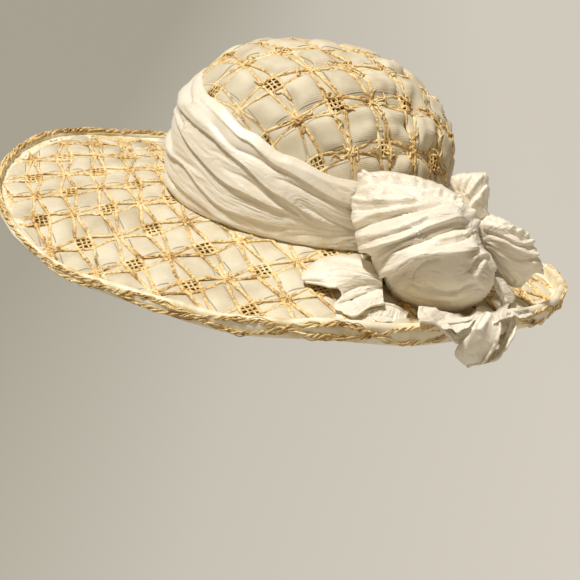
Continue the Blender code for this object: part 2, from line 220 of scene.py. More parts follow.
# One material: its shader, and the nodes that its expressions add
class Finish:
    def __init__(self, name, **fixed):
        self.material = bpy.data.materials.new(name)
        self.material.use_nodes = True
        self.nodes = self.material.node_tree.nodes
        self.links = self.material.node_tree.links
        self.shader = self.nodes["Principled BSDF"]
        for socket, value in fixed.items():
            self.shader.inputs[socket.replace("_", " ")].default_value = value

    def put(self, socket, value):
        if isinstance(value, Wire):
            self.links.new(value.socket, socket)
        elif socket.type == "RGBA" and len(value) == 3:
            socket.default_value = (*value, 1)
        else:
            socket.default_value = value

    def node(self, kind, settings, values, output=0):
        made = self.nodes.new(kind)
        for name, value in settings.items():
            if name == "stops":
                ramp = made.color_ramp
                while len(ramp.elements) < len(value):
                    ramp.elements.new(1)
                for element, (place, colour) in zip(ramp.elements, value):
                    element.position, element.color = place, (*colour, 1)
            else:
                setattr(made, name, value)
        for name, value in values.items():
            self.put(made.inputs[name], value)
        return Wire(self, made.outputs[output])

    def objectPlace(self):
        return self.node("ShaderNodeTexCoord", {}, {}, "Object")

    def uv(self, name="weave"):
        return self.node("ShaderNodeUVMap", {"uv_map": name}, {})

    def parts(self, vector):
        split = self.node("ShaderNodeSeparateXYZ", {}, {0: vector})
        return [Wire(self, output) for output in split.socket.node.outputs]

    def join(self, x, y, z=0.0):
        return self.node("ShaderNodeCombineXYZ", {}, {0: x, 1: y, 2: z})

    def noise(self, vector, scale, detail=3.0, rough=0.5):
        return self.node("ShaderNodeTexNoise", {}, {"Vector": vector, "Scale": scale,
                                                    "Detail": detail, "Roughness": rough})

    def mix(self, factor, first, second, blend="MIX"):
        values = {"Factor": factor, 6: first, 7: second}
        return self.node("ShaderNodeMix", {"data_type": "RGBA", "blend_type": blend}, values, 2)

    def ramp(self, factor, *stops):
        return self.node("ShaderNodeValToRGB", {"stops": stops}, {0: factor})

    def bump(self, height, strength, distance):
        return self.node("ShaderNodeBump", {}, {"Height": height, "Strength": strength,
                                                "Distance": distance})

    def surface(self, **varied):
        for socket, value in varied.items():
            self.put(self.shader.inputs[socket.replace("_", " ")], value)
        return self.material


# Woven cloth: each thread line is a pair that spreads at the open crossings and pinches at the others; shade
# is the painted shade colour put in the holes of the open crossings
weaves = {
    "brim": {"across": (-0.0130, 0.0215), "down": (0.0295, 0.0133), "crossing": (0.1141, -0.1460),
             "turn": 0.20, "turnAt": -0.73, "puff": 0.0024, "low": 0.25, "cells": 14, "hole": (0.17, 0.13),
             "columns": (-14, 24), "rows": (-16, 8), "wall": 0.0009, "shade": (0.17, 0.12, 0.06)},
    "crown": {"across": (-0.0153, 0.0278), "down": (0.0282, 0.0232), "crossing": (0.0611, -0.0406),
              "turn": 0.0, "turnAt": 0.0, "puff": 0.0042, "low": 0.5, "cells": 14, "hole": (0.14, 0.15),
              "columns": (-12, 12), "rows": (-12, 12), "wall": 0.0009, "shade": (0.065, 0.042, 0.020)},
}
pit = {"deep": 0.0013, "slope": 0.07}
ribbing = {"along": 0.0013, "across": 0.0009}
pair = {"mean": 0.0036, "swing": 0.0021, "groove": 0.0034, "strip": 0.45}
for lattice in weaves.values():
    (ax, ay), (dx, dy) = lattice["across"], lattice["down"]
    lattice["area"] = ax * dy - ay * dx
    lattice["stepI"] = abs(lattice["area"]) / hypot(dx, dy)
    lattice["stepJ"] = abs(lattice["area"]) / hypot(ax, ay)

# Soft dents in the crown: direction in degrees, height, reach and depth
dents = [(68, 0.108, 0.012, 0.0060), (48, 0.094, 0.011, 0.0045), (60, 0.080, 0.009, 0.0035),
         (84, 0.097, 0.009, 0.0045),
         (36, 0.107, 0.009, 0.0035), (20, 0.090, 0.008, 0.0025), (-15, 0.098, 0.009, 0.0025),
         (100, 0.112, 0.018, 0.0035), (205, 0.110, 0.020, 0.0030)]
crushed = {"sides": (5, 40, 110, 135), "low": 0.058, "high": 0.078, "deep": 0.0030, "coarse": 0.017,
         "small": 0.007}


def pairGap(turn):
    return pair["mean"] + pair["swing"] * np.cos(pi * turn)


def flatPlace(lattice, i, j):
    (ax, ay), (dx, dy), (cx, cy) = lattice["across"], lattice["down"], lattice["crossing"]
    return np.stack((cx + ax * i + dx * j, cy + ay * i + dy * j), axis=-1)


# How much the cloth swells between the threads, from 0 under a thread to 1 in a panel
def swelling(lattice, i, j):
    nearI, nearJ = np.round(i), np.round(j)
    fromI, fromJ = np.abs(i - nearI) * lattice["stepI"], np.abs(j - nearJ) * lattice["stepJ"]
    gapI, gapJ = pairGap(j + nearI), pairGap(i + nearJ)
    swellI = (1 - np.exp(-((fromI - gapI) / pair["groove"]) ** 2)) * np.where(fromI < gapI, pair["strip"], 1)
    swellJ = (1 - np.exp(-((fromJ - gapJ) / pair["groove"]) ** 2)) * np.where(fromJ < gapJ, pair["strip"], 1)
    return swellI * swellJ


def crownOut(point):
    out = np.stack((point[:, 0], point[:, 1], 1.4 * np.maximum(point[:, 2] - 0.045, 0)), axis=-1)
    return out / np.maximum(np.linalg.norm(out, axis=1, keepdims=True), 1e-9)


# Point of the crown over a place in the flat cloth, raised by lift, with its length from the top
def crownPoint(flat, lift):
    angle = np.arctan2(flat[:, 1], flat[:, 0])
    length = np.hypot(flat[:, 0], flat[:, 1]) * meanHead / headRadius(angle)
    height = np.interp(length, curveLength, curveHeight)
    point = polar(headRadius(angle) * np.interp(length, curveLength, curveScale), angle, height)
    clear = np.clip((height - bandTop(angle) - 0.008) / 0.010, 0, 1)
    out = crownOut(point)
    for degrees, dentHeight, reach, depth in dents:
        side = radians(degrees)
        middle = polar(headRadius(side) * crownScale(dentHeight), np.array(side), dentHeight)
        near = np.linalg.norm(point - middle, axis=1) / reach
        point -= out * (depth * clear * np.exp(-near * near))[:, None]
    # crumpled on the side of the knot, towards the back
    first, full, fading, last = (radians(degrees) for degrees in crushed["sides"])
    side = ease(angle, first, full) * (1 - ease(angle, fading, last))
    crumple = np.abs(ripple(point, crushed["coarse"], 21)) * 2.2 + 0.5 * ripple(point, crushed["small"],
                                                                                22) - 0.4
    point -= out * (crushed["deep"] * side * ease(height, crushed["low"], crushed["high"]) * crumple)[:, None]
    return point + out * (lift * (0.2 + 0.8 * clear))[:, None], length, angle


def brimPolar(lattice, flat):
    start = np.arctan2(flat[:, 1], flat[:, 0])
    angle = start
    for _ in range(12):
        angle = start + lattice["turn"] * np.sin(angle - lattice["turnAt"])
    return np.hypot(flat[:, 0], flat[:, 1]), angle


def brimPoint(flat, lift):
    radius, angle = brimPolar(weaves["brim"], flat)
    return polar(radius, angle, brimHeight(radius, angle) + lift), radius, angle


# Woven surface of the crown or the brim: a grid along the threads, with pits at every other crossing, which
# the finish fills with painted shade
def wovenMesh(name):
    lattice = weaves[name]
    (firstI, lastI), (firstJ, lastJ) = lattice["columns"], lattice["rows"]
    cells = lattice["cells"]
    mesh = clothGrid(name, (lastI - firstI) * cells, (lastJ - firstJ) * cells)
    grid = placesOf(mesh)
    i = firstI + grid[:, 0] * (lastI - firstI)
    j = firstJ + grid[:, 1] * (lastJ - firstJ)
    nearI, nearJ = np.round(i), np.round(j)
    holeI, holeJ = lattice["hole"]
    deepI = 1 - ease(np.abs(i - nearI), holeI, holeI + pit["slope"])
    deepJ = 1 - ease(np.abs(j - nearJ), holeJ, holeJ + pit["slope"])
    isOpen = (nearI + nearJ) % 2 == 0
    lift = lattice["puff"] * (swelling(lattice, i, j) - lattice["low"])
    lift = lift - pit["deep"] * (deepI * deepJ) * isOpen
    flat = flatPlace(lattice, i, j)
    if name == "crown":
        point, reach, angle = crownPoint(flat, lift)
        limit = np.full(len(reach), curveLength[-1])
        outside = reach > limit
        inside = np.zeros(len(reach), bool)
        share = limit / np.maximum(reach, 1e-9)
        edge, _, _ = crownPoint(flat * np.where(outside, share, 1)[:, None], lift * 0)
        edge[:, 2] -= 0.002
        point = np.where(outside[:, None], edge, point)
    else:
        reach, angle = brimPolar(lattice, flat)
        low, high = headRadius(angle) + 0.0012, rimRadius(angle) - hat["edgeBend"] - 0.001
        outside, inside = reach > high, reach < low
        reach = np.clip(reach, low, high)
        lift = lift * ease(reach, low, low + 0.004)
        point = polar(reach, angle, brimHeight(reach, angle) + lift)
    setPlaces(mesh, point)
    bm = bmesh.new()
    bm.from_mesh(mesh)
    bm.verts.ensure_lookup_table()
    away = [face for face in bm.faces if all(outside[v.index] for v in face.verts)
            or all(inside[v.index] for v in face.verts)]
    bmesh.ops.delete(bm, geom=away, context="FACES")
    bmesh.ops.remove_doubles(bm, verts=bm.verts, dist=0.0001)
    bm.to_mesh(mesh)
    bm.free()
    return mesh


# Round threads along many paths, as one mesh with a UV map along each thread
def threadMesh(name, paths, sides=1):
    curve = bpy.data.curves.new(name, "CURVE")
    curve.dimensions = "3D"
    curve.bevel_depth = 1.0
    curve.bevel_resolution = sides
    curve.use_fill_caps = True
    for path in paths:
        spline = curve.splines.new("POLY")
        count = len(path["points"])
        spline.points.add(count - 1)
        spline.points.foreach_set("co", np.c_[path["points"], np.ones(count)].ravel())
        spline.points.foreach_set("radius", np.broadcast_to(path["radius"], count).astype(float))
        spline.use_cyclic_u = path.get("closed", False)
    holder = bpy.data.objects.new(name, curve)
    bpy.context.scene.collection.objects.link(holder)
    graph = bpy.context.evaluated_depsgraph_get()
    mesh = bpy.data.meshes.new_from_object(holder.evaluated_get(graph))
    bpy.data.objects.remove(holder)
    mesh.name = name
    return mesh


# Whole stretches of a path where a test holds
def stretches(keep, least=3):
    runs, start = [], None
    for k, good in enumerate(list(keep) + [False]):
        if good and start is None:
            start = k
        elif not good and start is not None:
            if k - start >= least:
                runs.append(slice(start, k))
            start = None
    return runs


raffia = {"radius": 0.00112, "middleRadius": 0.00074, "thinRadius": 0.00054, "step": 0.0020, "wobble": 0.0015,
          "rise": 0.0012, "middleReach": 0.0085, "middleAt": 0.0015, "knotReach": 0.0031,
          "knotRadius": 0.00085}


# Height of the threads over the cloth's own level
def threadBase(lattice):
    return -lattice["puff"] * lattice["low"] + raffia["rise"]


# Adds to paths the stretches of a thread that lie on the crown or the brim
def layThread(paths, name, i, j, radius, lift):
    place = crownPoint if name == "crown" else brimPoint
    point, reach, angle = place(flatPlace(weaves[name], i, j), lift)
    if name == "crown":
        keep = (reach < curveLength[-1]) & (point[:, 2] > bandTop(angle) - 0.010)
    else:
        keep = (reach > headRadius(angle) + 0.001) & (reach < rimRadius(angle) - 0.0030)
    for run in stretches(keep):
        paths.append({"points": point[run], "radius": np.broadcast_to(radius, len(i))[run]})


def longThreads(name, seed, step, thin=False):
    lattice = weaves[name]
    (firstI, lastI), (firstJ, lastJ) = lattice["columns"], lattice["rows"]
    base = threadBase(lattice)
    paths = []
    rng = np.random.default_rng(seed)
    lines = [(number, 0) for number in range(firstI, lastI + 1)]
    lines += [(number, 1) for number in range(firstJ, lastJ + 1)]
    for number, way in lines:
        first, last = ((firstJ, lastJ), (firstI, lastI))[way]
        cell = (lattice["stepJ"], lattice["stepI"])[way]
        side = (lattice["stepI"], lattice["stepJ"])[way]
        along = np.arange(first, last, step / cell)
        for hand in (-1, 1):
            shift = rng.uniform(0, 90)
            pace, sway = (4.3, 1.9) if thin else (1.9, 1.0)
            wander = np.array([noise.noise(Vector((t * pace + shift, number * 0.37, hand))) for t in along])
            thick = np.array([noise.noise(Vector((t * 4.1, shift, hand * 2.0))) for t in along])
            offset = (hand * pairGap(along + number) + wander * raffia["wobble"] * sway) / side
            radius = (raffia["thinRadius"] if thin else raffia["radius"]) * (1 + 0.45 * thick)
            lift = base + 0.0006 * thick + 0.0005 * np.cos(pi * (along + number + 0.5 * hand)) + 0.0003 * thin
            i, j = (number + offset, along) if way == 0 else (along, number + offset)
            layThread(paths, name, i, j, radius, lift)
    return paths


# Fine threads that cross the open crossings
def middleThreads(name, seed):
    lattice = weaves[name]
    base = threadBase(lattice)
    paths = []
    rng = np.random.default_rng(seed)
    for i0, j0 in crossings(lattice, 0):
        for way in (0, 1):
            cell = (lattice["stepJ"], lattice["stepI"])[way]
            side = (lattice["stepI"], lattice["stepJ"])[way]
            for hand in (-1, 1):
                reach = raffia["middleReach"] * rng.uniform(0.8, 1.15)
                t = np.linspace(-reach, reach, 9)
                sideways = hand * raffia["middleAt"] * (1 + 1.1 * (t / reach) ** 2)
                lift = base + 0.0002 - 0.0012 * (t / reach) ** 4
                i, j = (i0 + sideways / side, j0 + t / cell) if way == 0 else (i0 + t / cell,
                                                                               j0 + sideways / side)
                layThread(paths, name, i, j, raffia["middleRadius"], lift)
    return paths


def crossings(lattice, odd):
    (firstI, lastI), (firstJ, lastJ) = lattice["columns"], lattice["rows"]
    return [(i, j) for i in range(firstI, lastI + 1) for j in range(firstJ, lastJ + 1) if (i + j) % 2 == odd]


# Wound knots with loose ends where the pairs meet
def knotThreads(name, seed):
    lattice = weaves[name]
    base = threadBase(lattice) + 0.0006
    paths, ends = [], []
    rng = np.random.default_rng(seed)
    for i0, j0 in crossings(lattice, 1):
        for hand in (-1, 1):
            reach = raffia["knotReach"] * rng.uniform(0.8, 1.3)
            t = np.linspace(-1, 1, 7)
            bend = rng.uniform(-0.0010, 0.0010) * (1 - t * t)
            lift = base + 0.0008 * (1 - t * t) - 0.0009 * t ** 4
            layThread(paths, name, i0 + (reach * t + bend) / lattice["stepI"],
                      j0 + (hand * reach * t - bend) / lattice["stepJ"],
                      raffia["knotRadius"] * rng.uniform(0.8, 1.1), lift)
        if rng.random() < 0.7:
            turn = np.linspace(0, 2 * pi, 10) + rng.uniform(0, 6)
            reach = raffia["knotReach"] * rng.uniform(0.55, 0.85)
            layThread(paths, name, i0 + reach * np.cos(turn) / lattice["stepI"],
                      j0 + reach * np.sin(turn) / lattice["stepJ"],
                      raffia["knotRadius"] * 0.8, np.full(10, base + 0.0005))
        for _ in range(2):
            turn, reach = rng.uniform(0, 2 * pi), rng.uniform(0.004, 0.009)
            t = np.linspace(0, 1, 5)
            bend = rng.uniform(-0.0016, 0.0016) * np.sin(pi * t)
            lift = base + 0.0002 + max(rng.uniform(-0.006, 0.0045), 0) * t * t
            layThread(ends, name, i0 + (reach * t * cos(turn) + bend) / lattice["stepI"],
                      j0 + (reach * t * sin(turn) - bend) / lattice["stepJ"], raffia["thinRadius"] * 0.8,
                      lift)
    return paths, ends


# Loose curling strands over the crumpled side of the crown
def tangleThreads(seed):
    lattice = weaves["crown"]
    base = threadBase(lattice)
    paths = []
    rng = np.random.default_rng(seed)
    for i0, j0 in crossings(lattice, 0) + crossings(lattice, 1):
        at, reach, angle = crownPoint(flatPlace(lattice, np.array([i0]), np.array([j0])), 0)
        if reach[0] > curveLength[-1] or at[0, 2] < 0.05:
            continue
        crumpled = radians(5) < angle[0] < radians(120)
        for _ in range(6 if crumpled else 2):
            turn, bend, reach = rng.uniform(0, 2 * pi), rng.uniform(-2.2, 2.2), rng.uniform(0.010, 0.022)
            t = np.linspace(0, 1, 14)
            heading = turn + bend * t + 0.8 * np.sin(9 * t + turn)
            i = i0 + rng.uniform(-0.2, 0.2) + np.cumsum(np.cos(heading)) * reach / 14 / lattice["stepI"]
            j = j0 + rng.uniform(-0.2, 0.2) + np.cumsum(np.sin(heading)) * reach / 14 / lattice["stepJ"]
            lift = base + 0.0006 + 0.0012 * np.sin(pi * t) + rng.uniform(0, 0.001)
            layThread(paths, "crown", i, j, rng.uniform(0.00045, 0.00085), lift)
    return paths


# Finishes
def wovenFinish(name, lattice):
    look = Finish(name, Roughness=0.62, Sheen_Weight=0.15, Sheen_Roughness=0.5)
    (firstI, lastI), (firstJ, lastJ) = lattice["columns"], lattice["rows"]
    u, v, _ = look.parts(look.uv())
    i = u * (lastI - firstI) + firstI
    j = v * (lastJ - firstJ) + firstJ
    fromI = (i - i.whole()).size() * lattice["stepI"] * 1000
    fromJ = (j - j.whole()).size() * lattice["stepJ"] * 1000
    place = look.objectPlace()
    ribs = (j * lattice["stepJ"] * 2 * pi / ribbing["along"]).sine() * 0.5 + 0.5
    crossRibs = (i * lattice["stepI"] * 2 * pi / ribbing["across"]).sine() * 0.5 + 0.5
    tone = look.noise(place, 38, 4)
    fine = look.noise(place, 900, 3)
    colour = look.ramp(tone, (0.32, (0.58, 0.50, 0.35)), (0.50, (0.71, 0.64, 0.48)),
                       (0.68, (0.80, 0.74, 0.58)))
    shade = 0.90 + 0.10 * ribs
    colour = look.mix(1.0, colour, look.join(shade, shade, shade), "MULTIPLY")
    # slits beside some of the thread pairs, with painted shade along them, and painted shade in the holes of
    # every other crossing
    chance = look.noise(look.join(i.whole() * 0.37 + 0.2, j.whole() * 0.43 + 0.3), 1.0, 0)
    slitJ = (1 - (fromJ - 6.2).size().between(0.15, 0.5)) * chance.between(0.50, 0.54) * fromI.between(3, 6)
    beside = 1 - (fromI - 5.6).size().between(0.15, 0.5)
    slitI = beside * (1 - chance.between(0.44, 0.48)) * fromJ.between(4, 7)
    slit = slitJ.most(slitI)
    # painted shade: the cloth is darkened along the thread pairs, where the grooves lie in shade
    gapI = ((j + i.whole()) * pi + pi / 2).sine() * 2.1 + 3.6
    gapJ = ((i + j.whole()) * pi + pi / 2).sine() * 2.1 + 3.6
    nearI = 1 - (fromI - gapI).size().between(0.4, 2.4)
    nearJ = 1 - (fromJ - gapJ).size().between(0.4, 2.4)
    grooveShade = nearI.most(nearJ)
    # painted shade: darkens the cloth in the grooves along the thread pairs
    colour = look.mix(grooveShade * 0.6, colour, (0.30, 0.20, 0.08))
    # painted shade: dark lines along the slits, which are also cut into the bump
    colour = look.mix(slit * 0.8, colour, (0.24, 0.21, 0.16))
    holeI, holeJ = lattice["hole"]
    pairs = (i.whole() + j.whole()) * 0.5
    closed = (pairs - pairs.whole()).size().between(0.1, 0.4)
    inI = 1 - (i - i.whole()).size().between(holeI, holeI + 0.03)
    inJ = 1 - (j - j.whole()).size().between(holeJ, holeJ + 0.03)
    holeShade = inI * inJ * (1 - closed)
    # painted shade: the holes of the open crossings get the lattice's dark shade colour
    colour = look.mix(holeShade, colour, lattice["shade"])
    height = ribs * 0.5 + crossRibs * 0.15 + fine * 0.3 - slit * 1.5
    return look.surface(Base_Color=colour, Normal=look.bump(height, 0.5, 0.0004))


def raffiaFinish(name):
    look = Finish(name, Roughness=0.5, Sheen_Weight=0.1)
    place = look.objectPlace()
    tone = look.noise(place, 55, 3) * 0.5 + look.noise(place, 420, 3) * 0.5
    colour = look.ramp(tone, (0.35, (0.25, 0.13, 0.04)), (0.43, (0.56, 0.35, 0.12)),
                       (0.51, (0.83, 0.62, 0.28)), (0.61, (0.94, 0.80, 0.50)))
    strands = look.noise(place, 2400, 2)
    return look.surface(Base_Color=colour, Normal=look.bump(strands, 0.4, 0.0003))


def silkFinish(name):
    look = Finish(name, Sheen_Weight=0.25, Sheen_Roughness=0.35, Subsurface_Weight=0.12,
                  Subsurface_Radius=(1.0, 0.75, 0.45), Subsurface_Scale=0.003, Specular_IOR_Level=0.55)
    place = look.objectPlace()
    u, v, _ = look.parts(look.uv())
    crinkle = look.noise(look.join(u * 70, v * 330), 1.0, 4, 0.6)
    folds = (look.noise(look.join(u * 110, v * 620, 3.0), 1.0, 2, 0.5) - 0.5).size()
    crush = (look.noise(place, 170, 2, 0.5) - 0.5).size()
    crepe = look.noise(place, 900, 3, 0.6)
    soft = look.noise(place, 30, 2)
    colour = look.ramp(soft, (0.3, (0.82, 0.75, 0.62)), (0.55, (0.87, 0.82, 0.71)),
                       (0.75, (0.91, 0.87, 0.78)))
    calm = look.node("ShaderNodeAttribute", {"attribute_name": "calm"}, {}, "Fac")
    height = (crinkle - folds * 1.3 - crush * 0.6 + crepe * 0.08) * (1 - calm * 0.8)
    return look.surface(Base_Color=colour, Roughness=0.30 + crinkle * 0.25,
                        Normal=look.bump(height, 0.65, 0.0015))


woven = {name: wovenFinish(name + "Ribbon", lattice) for name, lattice in weaves.items()}
gold = raffiaFinish("goldRaffia")
silk = silkFinish("crinkledSilk")

print("stage: woven crown and brim")
for name in ("crown", "brim"):
    addPiece(name + "Cloth", wovenMesh(name), woven[name], name, weaves[name]["wall"])

print("stage: raffia threads")
for name, seed in (("crown", 3), ("brim", 5)):
    addPiece(name + "Threads", threadMesh(name + "Threads", longThreads(name, seed, raffia["step"])), gold)
    wound, ends = knotThreads(name, seed + 20)
    if name == "crown":
        ends += tangleThreads(8)
    addPiece(name + "Knots", threadMesh(name + "Knots", wound + middleThreads(name, seed + 10)), gold)
    loose = ends + longThreads(name, seed + 30, 0.0034, thin=True) + longThreads(name, seed + 40, 0.0038,
                                                                                 thin=True)
    addPiece(name + "Strands", threadMesh(name + "Strands", loose, 0), gold)

# Edge of the brim: the cloth rolled over a wire, with crossed raffia and a braid on its outside
edge = {"around": 540, "profile": 25, "roll": 0.0023, "puff": 0.0016, "waves": 10, "waveAt": radians(1),
        "low": 0.10, "high": 0.84, "meanRim": 0.207, "braidPitch": 0.022, "braidReach": 0.0011,
        "strand": 0.00072,
        "farFrom": -0.15, "farTo": 0.45, "farAt": radians(35), "dip": 0.35, "dipAt": radians(-64),
        "dipReach": radians(38)}


# The edge's height, which dips at the front
def edgeRise(angle):
    turn = (angle - edge["dipAt"] + pi) % (2 * pi) - pi
    return edgeHeight(angle) * (1 - edge["dip"] * np.exp(-(turn / edge["dipReach"]) ** 2))


def edgeProfile(angle, share):
    outer, low, high = rimRadius(angle), rimHeight(angle), edgeRise(angle)
    bend, roll, lean = hat["edgeBend"], edge["roll"], hat["edgeLean"]
    # distances from the rim line: along the upper face, up the inside, over the roll, down the outside, under
    stops = np.array([0.0, 0.14, 0.26, 0.40, 0.47, 0.54, 0.62, 0.70, 0.86, 0.93, 1.0])
    out = [(-bend - 0.0060, 0), (-bend, 0), (-0.0011, 0), (-0.0006, 1), (lean - roll * 1.1, 1), (lean, 1),
           (lean + roll, 1), (lean + roll * 0.9, 1), (lean * 0.6 + 0.0016, 0), (-0.0005, 0), (-0.0050, 0)]
    up = [0.0010, 0.0007, 0.0016, -roll * 1.6, -roll * 0.6, 0.0002, -roll * 0.8, -roll * 2.0,
          0.0004, -0.0022, -0.0026]
    outs = np.array([row[0] for row in out])
    tops = np.array([row[1] for row in out])
    ups = np.array(up)
    radius = outer + np.interp(share, stops, outs)
    height = low + np.interp(share, stops, ups) + np.interp(share, stops, tops) * high
    return radius, height


# The edge's outside swells between the crossings of its braids
def edgeSwell(angle):
    return np.abs(np.sin(edge["waves"] * (angle - edge["waveAt"]))) ** 0.6


def edgeMesh():
    mesh = clothGrid("brimEdge", edge["around"], edge["profile"])
    grid = placesOf(mesh)
    angle = 2 * pi * grid[:, 0]
    radius, height = edgeProfile(angle, grid[:, 1])
    outside = ease(grid[:, 1], 0.62, 0.72) * (1 - ease(grid[:, 1], 0.86, 0.95))
    radius = radius + edge["puff"] * outside * (edgeSwell(angle) - 0.5)
    around = np.c_[np.cos(angle), np.sin(angle)]
    uneven = ripple(np.c_[around * 9, grid[:, 1] * 2], 1.0, 12)
    lip = ease(grid[:, 1], 0.30, 0.44) * (1 - ease(grid[:, 1], 0.60, 0.70))
    height = height + 0.0012 * uneven * lip
    radius = radius + 0.0008 * ripple(np.c_[around * 22, grid[:, 1] * 3], 1.0, 13) * (outside + lip)
    setPlaces(mesh, polar(radius, angle, height))
    closeSeam(mesh)
    return mesh


# Cords along the edge: over its outside on the near half, and on top of its lip on the far half
def edgeCord(angle, wave, lean):
    level = edge["low"] + (edge["high"] - edge["low"]) * (0.5 + 0.5 * wave)
    face = 0.0034 + 0.0009 * level + edge["puff"] * (edgeSwell(angle) - 0.5) * 0.8
    far = ease(-np.cos(angle - edge["farAt"]), edge["farFrom"], edge["farTo"])
    radius = rimRadius(angle) + face * (1 - far) + (hat["edgeLean"] + 0.0013 * lean) * far
    height = rimHeight(angle) + edgeRise(angle) * (level * (1 - far) + far) + 0.0007 * far
    return radius, height


def edgeThreads():
    paths = []
    count = 620
    angle = np.linspace(0, 2 * pi, count, endpoint=False)
    around = np.c_[np.cos(angle), np.sin(angle), 0 * angle]
    for number in range(8):
        hand = (-1) ** number
        stray = ripple(around * 14, 1.0, 40 + number)
        wave = hand * np.sin(edge["waves"] * (angle - edge["waveAt"]))
        radius, height = edgeCord(angle, wave + 1.2 * stray, 1.6 * stray)
        radius = radius + 0.0004 * ripple(around * 30, 1.0, 60 + number)
        thick = 0.00048 * (1 + 0.5 * ripple(around * 40, 1.0, 50 + number))
        paths.append({"points": polar(radius, angle, height), "radius": thick, "closed": True})
    return threadMesh("edgeThreads", paths, 0)


def braidMesh():
    paths = []
    angle = np.linspace(0, 2 * pi, 900, endpoint=False)
    turns = round(2 * pi * edge["meanRim"] / edge["braidPitch"])
    around = np.c_[np.cos(angle), np.sin(angle), 0 * angle]
    for hand in (-1, 1):
        uneven = ripple(around * 8, 1.0, 31 + hand)
        wave = hand * np.sin(edge["waves"] * (angle - edge["waveAt"]))
        radius, height = edgeCord(angle, wave + 0.35 * uneven, hand)
        for strand in range(3):
            stray = ripple(around * 19, 1.0, 70 + 3 * hand + strand)
            turn = turns * angle + 2 * pi * strand / 3 + 3 * uneven + 2.5 * stray
            reach = edge["braidReach"] * (1 + 0.8 * stray)
            points = polar(radius + 0.7 * reach * np.cos(turn), angle, height + 1.3 * reach * np.sin(turn))
            thick = edge["strand"] * (1 + 0.6 * ripple(around * 25, 1.0, 34 + strand))
            paths.append({"points": points, "radius": thick, "closed": True})
    return threadMesh("edgeBraid", paths, 0)


def lipFinish(name):
    look = Finish(name, Roughness=0.55, Sheen_Weight=0.15)
    place = look.objectPlace()
    tone = look.noise(place, 70, 4)
    fine = look.noise(place, 1100, 3)
    colour = look.ramp(tone, (0.32, (0.66, 0.54, 0.30)), (0.46, (0.84, 0.76, 0.55)),
                       (0.60, (0.90, 0.85, 0.69)))
    return look.surface(Base_Color=colour, Normal=look.bump(fine + tone * 1.5, 0.5, 0.0004))


print("stage: edge")
cream = lipFinish("creamEdge")
addPiece("brimEdge", edgeMesh(), cream, wall=0.0008)
addPiece("edgeThreads", edgeThreads(), gold)
addPiece("edgeBraid", braidMesh(), gold, "edge_braid")

# Camera at the photograph's viewing angle; the scarf's pieces are placed by what it sees of them
view = {"place": (1.2366, 0.0015, 0.4063), "rise": 21.05, "roll": 10.43, "lens": 103.45}


def cameraAxes():
    rise, roll = radians(view["rise"]), radians(view["roll"])
    back = Vector((cos(rise), 0, sin(rise)))
    right = (-back).cross(Vector((0, 0, 1))).normalized()
    up = right.cross(-back)
    return right * cos(roll) + up * sin(roll), up * cos(roll) - right * sin(roll), back


# Right, up and towards the camera at a point of the hat
def viewFrame(centre):
    right, _, _ = cameraAxes()
    toward = (Vector(view["place"]) - Vector(centre)).normalized()
    right = (right - toward * right.dot(toward)).normalized()
    return np.array((right, toward.cross(right), toward))


# How much each of a row's control points counts at each share of the way along it
def curveWeights(share, count):
    place = np.clip(share, 0, 1) * (count - 1)
    base = np.minimum(place.astype(int), count - 2)
    t = place - base
    blend = np.stack((-t + 2 * t ** 2 - t ** 3, 2 - 5 * t ** 2 + 3 * t ** 3,
                      t + 4 * t ** 2 - 3 * t ** 3, -t ** 2 + t ** 3), axis=-1) / 2
    weights = np.zeros((len(t), count))
    for k in range(4):
        np.add.at(weights, (np.arange(len(t)), np.clip(base + k - 1, 0, count - 1)), blend[:, k])
    return weights


# Height of drawn folds at flat places: ridges, creases, and laps that overlap their right side
def foldHeight(places, folds):
    total = np.zeros(len(places))
    for kind, height, width, points in folds:
        line = curveWeights(np.linspace(0, 1, 7 * len(points)), len(points)) @ np.array(points, float)
        step = np.diff(line, axis=0)
        away = places[:, None] - line[:-1]
        share = np.clip((away * step).sum(axis=-1) / (step * step).sum(axis=-1), 0, 1)
        gap = away - share[..., None] * step
        reach = np.linalg.norm(gap, axis=-1)
        nearest = reach.argmin(axis=1)
        row = np.arange(len(places))
        distance = reach[row, nearest]
        along = (nearest + share[row, nearest]) / len(step)
        side = step[nearest, 0] * gap[row, nearest, 1] - step[nearest, 1] * gap[row, nearest, 0]
        fade = ease(along, 0, 0.15) * (1 - ease(along, 0.85, 1))
        if kind == "ridge":
            shape = np.exp(-(distance / width) ** 2)
        elif kind == "hem":
            crumple = np.sin(along * len(points) * 5.1) + np.sin(along * len(points) * 8.3 + 1)
            shape = np.exp(-(distance / width) ** 2) * (0.8 + 0.35 * crumple)
        elif kind == "crease":
            shape = -np.exp(-1.2 * distance / width)
        else:
            signed = distance * np.sign(side)
            shape = (0.5 + 0.5 * np.tanh(signed / 0.35)) * np.exp(-np.maximum(signed, 0) / (3 * width))
        total += height * fade * shape
    return total


# Places along and across the cloth: across is a level that runs with the long drawn folds
def flowPlaces(places, folds):
    weight, level = np.zeros(len(places)), np.zeros(len(places))
    for _, _, _, points in folds:
        row = np.array(points, float)
        if np.ptp(row[:, 0]) < 24:
            continue
        line = curveWeights(np.linspace(0, 1, 6 * len(row)), len(row)) @ row
        gap = np.linalg.norm(places[:, None] - line, axis=2).min(axis=1)
        near = 1 / (gap + 1.5) ** 3
        weight += near
        level += near * (row[:, 1].mean() + 0.35 * np.clip(places[:, 1] - np.interp(places[:, 0], line[:, 0],
                                                                                    line[:, 1]), -9, 9))
    return np.c_[places[:, 0], level / weight]


def setUv(mesh, places):
    corners = np.empty(len(mesh.loops), int)
    mesh.loops.foreach_get("vertex_index", corners)
    mesh.uv_layers["weave"].data.foreach_set("uv", places[corners].astype(float).ravel())


